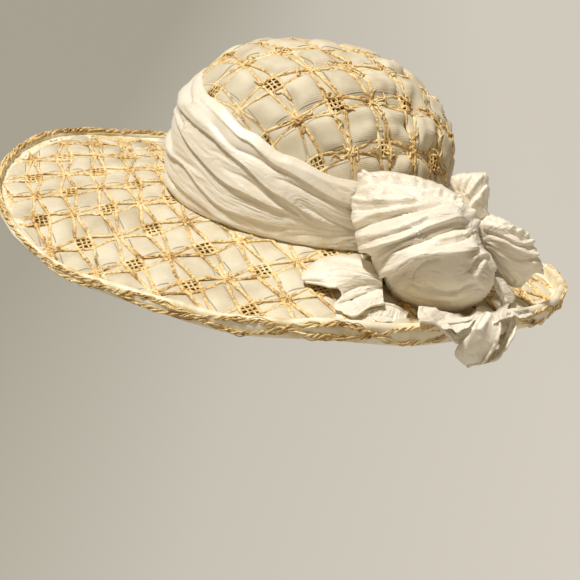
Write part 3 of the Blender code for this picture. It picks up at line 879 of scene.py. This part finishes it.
# Scarf band: long folds that slant down to the knot, as lines of (direction in degrees, share of the height)
band = {"around": 540, "rows": 92, "bottom": 0.0012, "fine": 0.00045, "calm": 0.7, "even": 0.0030,
        "rise": 0.0026, "turnIn": 0.0024, "folds": [
    ("lap", 2.0, 5, [(-79, 0.95), (-63, 0.96), (-48, 0.93), (-38, 0.93), (-24, 0.90), (0, 0.80), (20, 0.68),
                     (34, 0.6)]),
    ("ridge", 1.8, 3, [(-92, 0.84), (-83, 0.87), (-68, 0.86), (-57, 0.84), (-46, 0.81), (-33, 0.78)]),
    ("crease", 2.6, 3, [(-50, 0.86), (-42, 0.83), (-31, 0.80), (-20, 0.82), (-8, 0.80)]),
    ("crease", 2.2, 3, [(-16, 0.74), (-6, 0.72), (4, 0.69), (13, 0.67), (24, 0.60), (36, 0.54)]),
    ("lap", 3.0, 6, [(-88, 0.74), (-66, 0.78), (-52, 0.76), (-42, 0.75), (-30, 0.70), (-11, 0.55), (6, 0.40),
                     (20, 0.34)]),
    ("lap", 3.2, 6, [(-92, 0.66), (-81, 0.67), (-68, 0.64), (-58, 0.58), (-50, 0.52), (-34, 0.44),
                     (-16, 0.41), (-2, 0.36)]),
    ("crease", 1.6, 3, [(-40, 0.58), (-26, 0.56), (-12, 0.48), (0, 0.37)]),
    ("lap", 2.6, 6, [(-90, 0.30), (-73, 0.36), (-60, 0.37), (-51, 0.30), (-43, 0.23), (-34, 0.18),
                     (-15, 0.19), (2, 0.22)]),
    ("lap", 2.2, 5, [(-96, 0.24), (-84, 0.22), (-71, 0.18), (-59, 0.15), (-47, 0.11), (-37, 0.06),
                     (-26, 0.02)]),
    ("ridge", 1.8, 3, [(-90, 0.06), (-77, 0.08), (-65, 0.09)]),
    ("crease", 1.8, 3, [(-2, 0.52), (7, 0.48), (15, 0.40), (25, 0.32), (36, 0.30)]),
    ("crease", 1.2, 3, [(-4, 0.12), (12, 0.20), (26, 0.26), (36, 0.28)]),
    ("ridge", 1.6, 2.5, [(-88, 0.98), (-72, 0.96), (-62, 0.92)]),
    ("crease", 2.4, 2.5, [(-90, 0.94), (-76, 0.92), (-65, 0.89)]),
    ("ridge", 1.6, 2.5, [(-92, 0.80), (-81, 0.82), (-69, 0.81)]),
    ("crease", 2.4, 2.5, [(-90, 0.70), (-74, 0.71), (-64, 0.69)]),
    ("crease", 2.2, 2.5, [(-92, 0.52), (-76, 0.47), (-70, 0.42), (-61, 0.42), (-50, 0.40)]),
    ("ridge", 1.6, 3, [(-92, 0.42), (-78, 0.41), (-66, 0.40)]),
]}


def bandMesh():
    mesh = clothGrid("scarfBand", band["around"], band["rows"])
    grid = placesOf(mesh)
    degrees = 360 * grid[:, 0] - 180
    angle = np.radians(degrees)
    # the last rows turn in over the upper edge, and the first ones under the lower edge
    share = np.clip((grid[:, 1] - 0.02) / 0.95, 0, 1)
    turnIn = ease(grid[:, 1], 0.97, 1) + 1 - ease(grid[:, 1], 0, 0.02)
    low, high = band["bottom"], bandTop(angle)
    height = low + (high - low) * share
    flat = np.c_[degrees * 1.7, share * 70]
    # behind, where no folds are drawn, they run on evenly
    front = ease(degrees, -118, -84) * (1 - ease(degrees, 26, 50))
    lines = [(kind, deep, wide, [(at * 1.7, up * 70) for at, up in line]) for kind, deep, wide,
             line in band["folds"]]
    drawn = 0.001 * foldHeight(flat, lines)
    wander = ripple(np.c_[np.cos(angle), np.sin(angle), share * 0.9], 0.55, 2)
    phase = 5.5 * share + 0.7 * np.sin(angle + 0.6) + 0.5 * wander
    even = band["even"] * (np.abs(np.sin(pi * phase)) ** 0.75 - 0.6)
    flow = flowPlaces(flat, lines)[:, 1] * front + (share * 70 + degrees * 0.14) * (1 - front)
    small = ripple(np.c_[degrees * 0.06, flow / 3.0, share * 0], 1.0, 6)
    tiny = ripple(np.c_[degrees * 0.17, flow / 1.3, share * 0], 1.0, 8)
    fine = band["fine"] * (0.5 - 2.4 * np.abs(small) + 0.7 * tiny)
    edges = ease(share, 0, 0.05) * (1 - 0.7 * ease(share, 0.92, 1))
    rise = band["rise"] + drawn * front + even * (1 - front) + fine
    radius = headRadius(angle) * crownScale(height) + 0.0012 + np.maximum(rise, -0.0002) * (0.2 + 0.8 * edges)
    setPlaces(mesh, polar(radius - band["turnIn"] * turnIn, angle, height - 0.0003 * turnIn))
    setUv(mesh, np.c_[degrees * 0.0017, flow * 0.001])
    mesh.attributes.new("calm", "FLOAT", "POINT").data.foreach_set("value", np.full(len(grid), band["calm"]))
    closeSeam(mesh)
    return mesh


print("stage: scarf")
scarfBand = addPiece("scarfBand", bandMesh(), silk, "scarf_band")

# Puffs of gathered cloth: an outline as (degrees, reach) and folds as lines of (right, up), in millimetres
# in the viewing plane through the centre; fan is the point that their folds run to
knot = {
    "name": "scarfKnot", "node": "scarf_knot", "centre": (0.1113, 0.0900, 0.0271), "front": 37, "back": 30,
    "full": 2.3, "shear": 0.34, "tuck": (-7, 0.26), "flow": True, "around": 300, "rows": 140, "fine": 0.7,
    "deep": 1.3, "calm": (16, -24, 12),
    "outline": [(-166, 39), (-140, 39), (-121, 44), (-102, 46), (-83, 48), (-66, 54), (-50, 58), (-35, 58),
                (-20, 53), (-8, 43), (4, 39), (20, 38), (45, 39), (66, 42), (90, 46), (109, 53), (124, 63),
                (133, 70), (143, 62), (152, 60), (163, 55), (175, 49), (186, 44)],
    "folds": [
        ("hem", 3.6, 1.3, [(-49, 44), (-44, 49), (-35, 47), (-24, 46), (-13, 44), (-4, 42), (1, 39)]),
        ("hem", 2.0, 1.8, [(1, 39), (7, 37), (15, 34), (22, 30), (27, 24), (33, 16), (37, 8)]),
        ("crease", 2.4, 1.6, [(-50, 40), (-41, 43), (-28, 42), (-15, 40), (-1, 38), (10, 33), (20, 26)]),
        ("ridge", 2.0, 1.6, [(-36, 41), (-38, 36), (-40, 31)]),
        ("ridge", 1.8, 1.6, [(-27, 39), (-32, 35), (-37, 31)]),
        ("ridge", 2.0, 1.8, [(-26, 37), (-15, 33), (-6, 30)]),
        ("crease", 1.8, 1.4, [(-30, 33), (-18, 36), (-6, 34), (-2, 31)]),
        ("ridge", 1.6, 1.6, [(-5, 31), (-1, 36), (4, 37)]),
        ("ridge", 2.2, 1.5, [(-57, 35), (-46, 30), (-33, 30), (-17, 30), (-1, 29), (11, 27), (24, 19)]),
        ("crease", 3.0, 2.2, [(-56, 24), (-44, 24), (-33, 25), (-19, 26), (-1, 28), (14, 27), (23, 24)]),
        ("ridge", 3.0, 1.8, [(-54, 12), (-39, 19), (-25, 22), (-12, 25), (1, 27), (16, 27), (25, 23),
                             (33, 15), (36, 6)]),
        ("crease", 3.6, 2.0, [(-54, 8), (-44, 12), (-34, 15), (-17, 20), (-1, 23), (12, 25)]),
        ("lap", 5.0, 2.4, [(-48, -9), (-40, -6), (-28, -2), (-15, 2), (-1, 8), (10, 12), (21, 15), (31, 14)]),
        ("ridge", 3.0, 4.5, [(-50, 6), (-35, 5), (-17, 11), (1, 18), (16, 21), (26, 18)]),
        ("crease", 2.0, 1.6, [(-40, 0), (-24, 5), (-8, 11), (4, 16)]),
        ("ridge", 1.2, 1.8, [(-36, -12), (-23, -6), (-13, 1), (-1, 4)]),
        ("crease", 2.2, 1.8, [(-36, -17), (-23, -7), (-15, -3), (-1, 1), (10, 6), (23, 10), (35, 10)]),
        ("crease", 1.6, 1.6, [(2, -3), (16, -1), (27, 2), (36, 8)]),
        ("ridge", 1.4, 1.8, [(8, 3), (20, 5), (30, 8)]),
        ("lap", 4.4, 2.4, [(-38, -28), (-28, -23), (-15, -17), (-6, -12), (4, -10), (21, -7), (30, -5),
                           (38, -4)]),
        ("ridge", 2.0, 2.6, [(-31, -21), (-22, -17), (-11, -10), (1, -6), (12, -5), (21, -3), (31, -2),
                             (38, -3)]),
        ("crease", 1.8, 1.4, [(-9, -26), (-6, -19), (1, -13), (12, -10)]),
        ("ridge", 2.4, 1.8, [(31, -13), (35, -9), (40, -7), (45, -8), (49, -13), (52, -22)]),
        ("ridge", 1.8, 1.4, [(34, -26), (38, -18), (42, -11)]),
        ("crease", 2.4, 1.4, [(31, -21), (35, -15), (39, -10)]),
        ("crease", 2.0, 2.4, [(-1, -29), (11, -34), (23, -33), (38, -27)]),
        ("crease", 1.6, 2.4, [(-20, -34), (1, -42), (23, -43), (36, -38)]),
        ("ridge", 1.6, 3.0, [(-14, -31), (2, -37), (24, -38)]),
    ],
}
backLoop = {
    "name": "scarfBackLoop", "node": "scarf_back_loop", "centre": (0.0798, 0.1583, 0.0215), "front": 17,
    "back": 17,
    "full": 2.4, "shear": -0.6, "fan": (-30, 10), "around": 220, "rows": 110, "fine": 0.5, "calm": (0, 0, 1),
    "outline": [(-143, 24), (-112, 23), (-95, 25), (-81, 26), (-62, 22), (-47, 20), (-34, 25), (-25, 22),
                (-14, 17),
                (-5, 15), (12, 13), (32, 13), (46, 14), (61, 15), (75, 17), (90, 19), (104, 22), (117, 27),
                (125, 33), (140, 34), (160, 31), (180, 28), (197, 25)],
    "folds": [
        ("hem", 2.2, 1.6, [(-12, 24), (-4, 18), (3, 15), (9, 10), (12, 3), (14, -2), (18, -9), (18, -15),
                           (10, -18)]),
        ("crease", 1.8, 1.6, [(-8, 16), (2, 11), (8, 3), (12, -6), (13, -13)]),
        ("ridge", 2.0, 2.2, [(-18, 27), (-9, 22), (-2, 18)]),
        ("lap", 2.4, 2.2, [(-24, 17), (-9, 12), (2, 6), (12, 6)]),
        ("ridge", 1.8, 2.2, [(-23, 20), (-12, 18), (-2, 15), (7, 12)]),
        ("lap", 2.4, 2.2, [(-24, 9), (-9, 2), (4, -3), (16, -3)]),
        ("ridge", 1.8, 2.2, [(-22, 12), (-7, 7), (4, 1), (15, 0)]),
        ("lap", 2.4, 2.2, [(-22, 5), (-9, -6), (4, -11), (19, -10)]),
        ("ridge", 1.8, 2.2, [(-20, 7), (-9, -2), (4, -7), (19, -7)]),
        ("crease", 2.2, 2.0, [(-17, -5), (-7, -15), (1, -22)]),
        ("ridge", 1.6, 2.2, [(-17, -1), (-7, -10), (3, -17), (12, -16)]),
        ("crease", 1.4, 1.6, [(-20, -9), (-14, -17), (-8, -22)]),
    ],
}
tuft = {
    "name": "scarfTuft", "node": "scarf_tuft", "centre": (0.0736, 0.1190, 0.0571), "front": 13, "back": 10,
    "full": 3.2, "shear": -0.2, "fan": (4, -22), "around": 150, "rows": 70, "fine": 0.5, "calm": (0, 0, 1),
    "outline": [(-168, 12), (-130, 17), (-97, 19), (-67, 22), (-51, 21), (-44, 15), (-20, 11.5), (3, 11.7),
                (30, 13.5),
                (50, 18), (58, 19), (78, 16.5), (100, 16), (125, 18.5), (138, 20), (150, 18), (165, 14)],
    "folds": [
        ("ridge", 2.0, 1.8, [(8, 15), (2, 7), (-3, -1)]),
        ("lap", 2.2, 2.0, [(11, 8), (5, 1), (-1, -6), (-2, -14)]),
        ("ridge", 1.6, 1.6, [(6, 0), (0, -8), (-1, -15)]),
        ("crease", 1.6, 1.4, [(-6, 14), (-9, 5), (-10, -1)]),
        ("crease", 1.2, 1.2, [(2, 16), (-3, 8), (-6, 0)]),
    ],
}


# Sight line from the camera through a place in the viewing plane
def alongSight(centre, frameOf, right, up, toward):
    return np.array(centre) + 0.001 * (np.outer(right, frameOf[0]) + np.outer(up, frameOf[1])
                                       + np.outer(toward, frameOf[2]))


def brimFloor(points):
    angle = np.arctan2(points[:, 1], points[:, 0])
    reach = np.hypot(points[:, 0], points[:, 1])
    rim = rimRadius(angle)
    floor = brimHeight(reach, angle) + edgeHeight(angle) * ease(reach, rim - 0.009, rim - 0.003)
    return np.where(reach < rim + 0.0042, floor, -1.0)


bandThick = 0.0062


# Cloth is kept out of the band and the crown, and above the brim by moving it towards the camera
def clearOfHat(points, toward, gap):
    angle = np.arctan2(points[:, 1], points[:, 0])
    reach = np.hypot(points[:, 0], points[:, 1])
    least = headRadius(angle) * crownScale(points[:, 2]) + bandThick
    push = np.where((points[:, 2] < hat["crownHigh"]) & (reach < least), least / np.maximum(reach, 1e-6), 1)
    points[:, :2] *= push[:, None]
    for _ in range(12):
        short = np.maximum(brimFloor(points) + gap - points[:, 2], 0)
        points += np.outer(np.minimum(short * 1.6, 0.02), toward)
    points[:, 2] = np.maximum(points[:, 2], brimFloor(points) + gap)
    return points


def foldPlaces(piece, flat):
    if "flow" in piece:
        return flowPlaces(flat, piece["folds"])
    away = flat - piece["fan"]
    return np.c_[np.hypot(away[:, 0], away[:, 1]), np.arctan2(away[:, 1], np.abs(away[:, 0])) * 24]


def puffMesh(puff):
    bm = bmesh.new()
    bm.loops.layers.uv.new("weave")
    bmesh.ops.create_uvsphere(bm, u_segments=puff["around"], v_segments=puff["rows"], radius=1, calc_uvs=True)
    mesh = toMesh(puff["name"], bm)
    ball = placesOf(mesh)
    outline = np.array(puff["outline"], float)
    reach = np.interp(np.degrees(np.arctan2(ball[:, 1], ball[:, 0])), outline[:, 0], outline[:, 1],
                      period=360)
    power = puff["full"]
    full = (np.hypot(ball[:, 0], ball[:, 1]) ** power + np.abs(ball[:, 2]) ** power) ** (-1 / power)
    deep = np.where(ball[:, 2] > 0, puff["front"], puff["back"])
    local = ball * full[:, None] * np.c_[reach, reach, deep]
    out = local / np.c_[reach ** 2, reach ** 2, deep ** 2]
    out /= np.maximum(np.linalg.norm(out, axis=1, keepdims=True), 1e-9)
    across = foldPlaces(puff, local[:, :2])
    small = ripple(np.c_[across / (14, 2.8), ball[:, 2] * 1.2], 1.0, 4)
    tiny = ripple(np.c_[across / (5, 1.3), ball[:, 2] * 1.2], 1.0, 9)
    behind = 1 - ease(ball[:, 2], -0.7, -0.2)
    relief = puff.get("deep", 1) * foldHeight(local[:, :2], puff["folds"]) * (1 - 0.6 * behind)
    calmX, calmY, calmReach = puff["calm"]
    calm = np.exp(-((local[:, 0] - calmX) ** 2 + (local[:, 1] - calmY) ** 2) / calmReach ** 2)
    fine = puff["fine"] * (1 - 0.9 * calm)
    relief += fine * (0.3 - np.abs(small) * 2.2 + 0.7 * tiny)
    relief += 1.6 * behind * (np.abs(np.sin(across[:, 1] * 0.33)) - 0.5)
    local += out * relief[:, None]
    # the face leans back above the turn, and is tucked under below it
    turnAt, under = puff.get("tuck", (-99, 0))
    leaning = puff["shear"] * np.maximum(local[:, 1], turnAt)
    toward = local[:, 2] - leaning + under * np.minimum(local[:, 1] - turnAt, 0)
    frameOf = viewFrame(puff["centre"])
    points = alongSight(puff["centre"], frameOf, local[:, 0], local[:, 1], toward)
    setPlaces(mesh, clearOfHat(points, frameOf[2], 0.0012))
    setUv(mesh, across * 0.001)
    mesh.attributes.new("calm", "FLOAT", "POINT").data.foreach_set("value", calm)
    return mesh


for puff in (knot, backLoop, tuft):
    piece = addPiece(puff["name"], puffMesh(puff), silk, puff["node"])

# Single layers of cloth: rows of control points (right, up, height above the brim or out from the rim)
# in millimetres, in the viewing plane through the centre. Flat is the mean width and length along the
# modelled cloth and area its surface, because none of these stretches is a rectangle
frontTail = {"centre": (0.1250, 0.0349, -0.0056), "over": "brim", "fan": (44, -4), "wall": 0.0006,
             "hem": 0.0011,
             "across": 62, "along": 46, "fine": 0.35, "pieces": [
    {"name": "scarfFrontTail", "node": "scarf_front_tail", "flat": (0.061, 0.039), "area": 0.00225,
     "hems": ("bottom", "left"), "rows": [
        [(-25.4, 4.6, 3), (-15.1, 13.4, 4), (0.5, 16.5, 5), (15.5, 14.1, 8), (27.7, 6.6, 12)],
        [(-26.0, 1.9, 7), (-15.1, 7.3, 12), (0.5, 10.0, 14), (15.5, 8.0, 16), (29.1, 2.5, 18)],
        [(-25.7, -0.9, 7), (-14.5, 1.2, 13), (0.5, 3.9, 16), (15.5, 2.5, 17), (29.8, -0.9, 18)],
        [(-24.7, -2.6, 5), (-13.1, -4.4, 9), (-2.9, -6.3, 11), (13.4, -2.2, 13), (29.8, -5.0, 14)]],
     "folds": [("ridge", 1.4, 2.2, [(-22, 8), (0, 13), (18, 10), (29, 5)]),
               ("crease", 1.4, 1.6, [(-12, 10), (2, 12), (16, 8), (29, 2)]),
               ("lap", 1.6, 2.0, [(-14, 4), (2, 6), (16, 3), (30, -1)]),
               ("crease", 1.0, 1.4, [(-20, 3), (-4, 1), (10, 1)])]},
    {"name": "scarfFrontFold", "flat": (0.036, 0.013), "area": 0.00040, "rows": [
        [(-2.9, -5.6, 14), (8.0, -1.9, 17), (18.9, -0.2, 19), (29.8, -2.9, 18)],
        [(1.3, -11.4, 10), (8.0, -8.0, 12), (18.9, -5.3, 14), (29.9, -4.6, 15)],
        [(-4.4, -18.5, 6), (6.5, -15.3, 8), (18.9, -10.4, 10), (30.1, -6.6, 12)]],
     "folds": [("crease", 1.2, 1.6, [(2, -11), (14, -6), (26, -4)]),
               ("ridge", 1.0, 1.8, [(-3, -17), (8, -13), (20, -9)])]},
    {"name": "scarfFrontTip", "flat": (0.039, 0.014), "area": 0.00049, "hems": ("bottom",), "rows": [
        [(-4.4, -18.5, 6), (6.5, -15.3, 8), (18.9, -10.4, 10), (30.1, -6.6, 12)],
        [(-3.0, -21.6, 6), (8.5, -19.9, 8), (19.5, -15.2, 10), (30.4, -12.4, 12)],
        [(2.2, -23.8, 5), (10.5, -25.9, 6), (20.6, -19.9, 8), (30.8, -17.5, 10)]],
     "folds": [("crease", 1.2, 1.2, [(7, -14), (13, -18), (20, -21)])]},
    {"name": "scarfLowerTail", "node": "scarf_lower_tail", "flat": (0.056, 0.012), "area": 0.00067,
     "hems": ("top",), "rows": [
        [(-2.2, -23.2, 2.5), (9.3, -24.4, 3), (20.9, -18.8, 5), (35.9, -18.9, 6), (48.1, -25.0, 4)],
        [(-2.6, -26.4, 2), (9.3, -27.7, 2.5), (20.9, -25.0, 3.5), (35.9, -25.4, 4), (47.1, -27.4, 3)],
        [(-2.9, -29.6, 1.5), (9.3, -30.6, 1.5), (20.9, -30.4, 2), (35.9, -30.4, 2), (46.4, -29.6, 2)]],
     "folds": [("ridge", 1.0, 1.6, [(8, -29), (20, -23), (34, -22), (46, -26)]),
               ("crease", 1.0, 1.4, [(10, -27), (24, -26), (40, -28)])]},
]}
hangingTail = {"centre": (0.1542, 0.1326, -0.0110), "over": "rim", "fan": (8, 26), "wall": 0.0006,
               "hem": 0.0013,
               "across": 54, "along": 52, "fine": 0.45, "pieces": [
    {"name": "scarfHangingTail", "node": "scarf_hanging_tail", "flat": (0.031, 0.044), "area": 0.00119,
     "hems": ("right", "bottom"), "rows": [
        [(-1.2, -4.3, 8), (0.2, 2.7, 8), (4.4, 7.7, 8), (9.4, 9.4, 9), (15.0, 5.9, 13)],
        [(-7.5, -9.2, 10), (-2.6, -4.3, 15), (4.4, -0.1, 14), (11.5, 1.3, 15), (17.2, -1.5, 19)],
        [(-13.1, -16.2, 9), (-5.4, -13.4, 16), (3.0, -10.6, 16), (10.8, -8.5, 17), (16.1, -7.8, 22)],
        [(-13.5, -22.6, 8), (-6.8, -21.9, 14), (0.2, -20.5, 14), (7.2, -16.9, 15), (13.6, -14.1, 20)],
        [(-5.4, -30.0, 8), (-2.6, -28.5, 10), (0.9, -27.5, 11), (4.4, -26.8, 12), (7.6, -24.0, 16)]],
     "folds": [("ridge", 1.6, 1.6, [(11, 8), (7, 2), (3, -4)]),
               ("crease", 1.6, 1.4, [(8, 9), (4, 3), (1, -3)]),
               ("ridge", 1.0, 2.2, [(14, 3), (13, -6), (10, -14)]),
               ("crease", 0.8, 2.4, [(-2, -2), (-6, -10), (-9, -20)]),
               ("ridge", 0.7, 2.4, [(4, -8), (0, -16), (-3, -24)]),
               ("crease", 0.7, 2.0, [(-10, -22), (-3, -20), (6, -21)])]},
    {"name": "scarfTailInside", "flat": (0.028, 0.054), "area": 0.00137, "hems": ("right",), "rows": [
        [(13.5, 5.5, 4), (18.6, 7.0, 3), (24.8, 9.7, 5), (29.0, 7.0, 9)],
        [(12.4, -4.3, 5), (18.9, -4.3, 4), (24.1, -2.2, 8), (28.4, -2.2, 13)],
        [(9.3, -13.4, 8), (15.1, -14.1, 9), (20.6, -12.7, 13), (24.6, -10.6, 18)],
        [(3.4, -22.9, 9), (8.5, -24.3, 11), (12.6, -24.0, 15), (16.7, -21.9, 19)],
        [(0.4, -27.5, 8), (3.5, -27.8, 9), (7.6, -26.5, 12), (11.0, -25.5, 16)]],
     "folds": [("crease", 1.8, 1.2, [(22, 6), (20, -4), (16, -14), (10, -22)]),
               ("ridge", 1.4, 1.2, [(26, 5), (24, -4), (20, -13), (13, -23)])]},
    {"name": "scarfTailTop", "flat": (0.076, 0.033), "area": 0.00192, "hems": ("bottom",), "rows": [
        [(-38.5, 13.3, -6), (-30.7, 12.6, -7), (-21.6, 9.8, -8), (-5.4, 7.0, -8), (3.7, 13.6, -9),
         (14.3, 9.8, -6)],
        [(-38.8, 9.1, 0), (-30.7, 7.7, 0), (-21.6, 2.7, 0), (-6.8, 1.3, 0), (3.0, 8.0, 0), (15.0, 8.0, 1)],
        [(-38.5, 5.2, 5), (-28.6, 3.8, 5), (-21.6, -3.6, 5), (-11.0, -7.1, 6), (-1.2, -0.5, 6),
         (9.6, 7.3, 6)],
        [(-37.8, 3.1, 6), (-27.2, 1.0, 6), (-17.7, -7.4, 7), (-11.0, -11.9, 8), (-2.6, -4.7, 8),
         (9.2, 6.2, 8)]],
     "folds": [("ridge", 1.4, 2.2, [(-30, 12), (-22, 4), (-14, -7)]),
               ("crease", 1.4, 1.8, [(-26, 12), (-18, 3), (-11, -7)]),
               ("ridge", 1.2, 2.0, [(-13, 9), (-9, 0), (-7, -9)]),
               ("crease", 1.0, 1.6, [(-7, 8), (-4, 0), (-4, -7)]),
               ("ridge", 1.0, 1.8, [(4, 13), (0, 5), (-3, -5)]),
               ("crease", 1.0, 1.4, [(-36, 13), (-33, 8), (-30, 4)]),
               ("crease", 0.9, 1.4, [(9, 10), (7, 8), (4, 4)])]},
    {"name": "scarfTailStrap", "flat": (0.027, 0.067), "area": 0.00098, "over": "brim", "rows": [
        [(12.0, 34.0, 30), (16.0, 34.5, 28), (20.5, 34.0, 24)],
        [(15.0, 24.5, 24), (20.0, 26.5, 24), (26.0, 26.5, 18)],
        [(19.0, 16.8, 17), (24.0, 19.0, 18), (29.2, 19.6, 13)],
        [(14.5, 9.8, 15), (18.5, 12.5, 17), (23.7, 14.0, 14)],
        [(12.5, 1.3, 16), (17.0, 3.5, 18), (21.6, 4.9, 16)]],
     "folds": [("crease", 1.4, 1.2, [(17, 30), (20, 24), (22, 18), (18, 11), (17, 4)]),
               ("ridge", 1.4, 1.2, [(19, 32), (24, 25), (27, 19), (21, 12)])]},
    {"name": "scarfTailPanel", "flat": (0.051, 0.055), "area": 0.00127, "over": "brim", "rows": [
        [(21.7, 15.0, 7), (29.7, 17.2, 7), (36.1, 13.2, 8), (41.3, 7.7, 14)],
        [(19.6, 9.8, 10), (29.0, 11.9, 11), (34.7, 9.1, 12), (38.5, 7.0, 15)],
        [(19.2, 4.6, 15), (28.3, 6.7, 16), (31.8, 5.6, 16), (35.0, 5.3, 16)]],
     "folds": [("ridge", 1.2, 1.4, [(24, 14), (27, 10), (27, 6)]),
               ("crease", 1.2, 1.4, [(30, 16), (32, 10), (31, 6)])]},
]}


# Depth of each control point on its sight line: at its height over the brim, or its distance out from the rim
def settle(layer, over, controls):
    frameOf = viewFrame(layer["centre"])
    near, far = np.full(len(controls), 90.0), np.full(len(controls), -90.0)
    for _ in range(30):
        middle = (near + far) / 2
        points = alongSight(layer["centre"], frameOf, controls[:, 0], controls[:, 1], middle)
        angle = np.arctan2(points[:, 1], points[:, 0])
        reach = np.hypot(points[:, 0], points[:, 1])
        if over == "brim":
            beyond = points[:, 2] - brimHeight(reach, angle)
        else:
            beyond = reach - rimRadius(angle)
        high = beyond * 1000 > controls[:, 2]
        near, far = np.where(high, middle, near), np.where(high, far, middle)
    return alongSight(layer["centre"], frameOf, controls[:, 0], controls[:, 1], (near + far) / 2)


def layerMesh(layer, piece):
    mesh = clothGrid(piece["name"], layer["across"], layer["along"])
    grid = placesOf(mesh)
    rows = np.array(piece["rows"], float)
    over = piece.get("over", layer["over"])
    placed = settle(layer, over, rows.reshape(-1, 3)).reshape(rows.shape)
    across, down = curveWeights(grid[:, 0], rows.shape[1]), curveWeights(grid[:, 1], rows.shape[0])
    flat = np.einsum("nj,ni,ijk->nk", across, down, rows)
    points = np.einsum("nj,ni,ijk->nk", across, down, placed)
    setPlaces(mesh, points)
    out = np.empty(len(mesh.vertices) * 3)
    mesh.vertices.foreach_get("normal", out)
    out = out.reshape(-1, 3)
    frameOf = viewFrame(layer["centre"])
    if (out @ frameOf[2]).sum() < 0:
        out = -out
        mesh.flip_normals()
    lines = foldPlaces(layer, flat[:, :2])
    small = ripple(np.c_[lines / (9, 2.4), grid[:, 0] * 0], 1.0, 5)
    tiny = ripple(np.c_[lines / (4, 1.1), grid[:, 0] * 0], 1.0, 7)
    relief = foldHeight(flat[:, :2], piece["folds"])
    relief = relief + layer["fine"] * (0.3 - 2.0 * np.abs(small) + 0.6 * tiny)
    points = clearOfHat(points + out * (0.001 * relief)[:, None], frameOf[2], 0.0010)
    setPlaces(mesh, points)
    setUv(mesh, lines * 0.001)
    sides = {"left": grid[:, 0] < 0.001, "right": grid[:, 0] > 0.999, "top": grid[:, 1] < 0.001,
             "bottom": grid[:, 1] > 0.999}
    hems = []
    for side in piece.get("hems", ()):
        at = np.flatnonzero(sides[side])
        at = at[np.argsort(grid[at, 1 if side in ("left", "right") else 0])]
        uneven = ripple(points[at], 0.004, 3)
        hems.append({"points": points[at], "radius": layer["hem"] * (1 + 0.5 * uneven)})
    return mesh, hems


for layer in (frontTail, hangingTail):
    for part in layer["pieces"]:
        mesh, hems = layerMesh(layer, part)
        piece = addPiece(part["name"], mesh, silk, part.get("node"), layer["wall"])
        if hems:
            addPiece(part["name"] + "Hem", threadMesh(part["name"] + "Hem", hems), silk)
        held = "laid" if layer["over"] == "brim" else "folded"
        "brimCloth" if held == "laid" else "brimEdge"


def addCamera():
    right, up, back = cameraAxes()
    data = bpy.data.cameras.new("camera")
    data.lens, data.sensor_width = view["lens"], 36
    camera = bpy.data.objects.new("camera", data)
    camera.matrix_world = Matrix.Translation(view["place"]) @ Matrix((right, up, back)).transposed().to_4x4()
    bpy.context.scene.collection.objects.link(camera)
    bpy.context.scene.camera = camera


studio = {"floorDown": -0.9, "key": 3.6, "keySoft": 7, "keyFrom": (0.38, -0.62, 1.42), "fill": 2.0,
          "back": 3.0,
          "world": 0.20}


def addLight(name, place, size, power, colour):
    data = bpy.data.lights.new(name, "AREA" if size else "SUN")
    data.energy, data.color = power, colour
    if size:
        data.size = size
    else:
        data.angle = radians(studio["keySoft"])
    light = bpy.data.objects.new(name, data)
    light.location = place
    light.rotation_euler = Vector(place).to_track_quat("Z", "Y").to_euler()
    bpy.context.scene.collection.objects.link(light)


def addStudio():
    bm = bmesh.new()
    bmesh.ops.create_grid(bm, x_segments=1, y_segments=1, size=14)
    bmesh.ops.translate(bm, verts=bm.verts, vec=(0, 0, studio["floorDown"]))
    floor = bpy.data.objects.new("floor", toMesh("floor", bm))
    bpy.context.scene.collection.objects.link(floor)
    paper = Finish("paleFloor", Roughness=0.9)
    # painted shade: the floor's colour is darker towards -Y (left in the view) and lighter towards +Y
    _, side, _ = paper.parts(paper.objectPlace())
    pale = paper.ramp(side * 0.7 + 0.5, (0.1, (0.31, 0.305, 0.27)), (0.45, (0.45, 0.45, 0.43)),
                      (0.9, (0.52, 0.52, 0.50)))
    floor.data.materials.append(paper.surface(Base_Color=pale))
    addLight("key", studio["keyFrom"], 0, studio["key"], (1.0, 0.97, 0.91))
    addLight("fill", (1.5, 0.9, 0.5), 1.4, studio["fill"], (1.0, 0.80, 0.54))
    addLight("back", (-1.1, 0.7, 1.1), 0.9, studio["back"], (1.0, 0.93, 0.83))
    world = bpy.data.worlds.new("studio")
    world.use_nodes = True
    world.node_tree.nodes["Background"].inputs["Color"].default_value = (1.0, 0.74, 0.44, 1)
    world.node_tree.nodes["Background"].inputs["Strength"].default_value = studio["world"]
    bpy.context.scene.world = world
    bpy.context.scene.view_settings.view_transform = "Standard"


print("stage: studio")
addCamera()
addStudio()
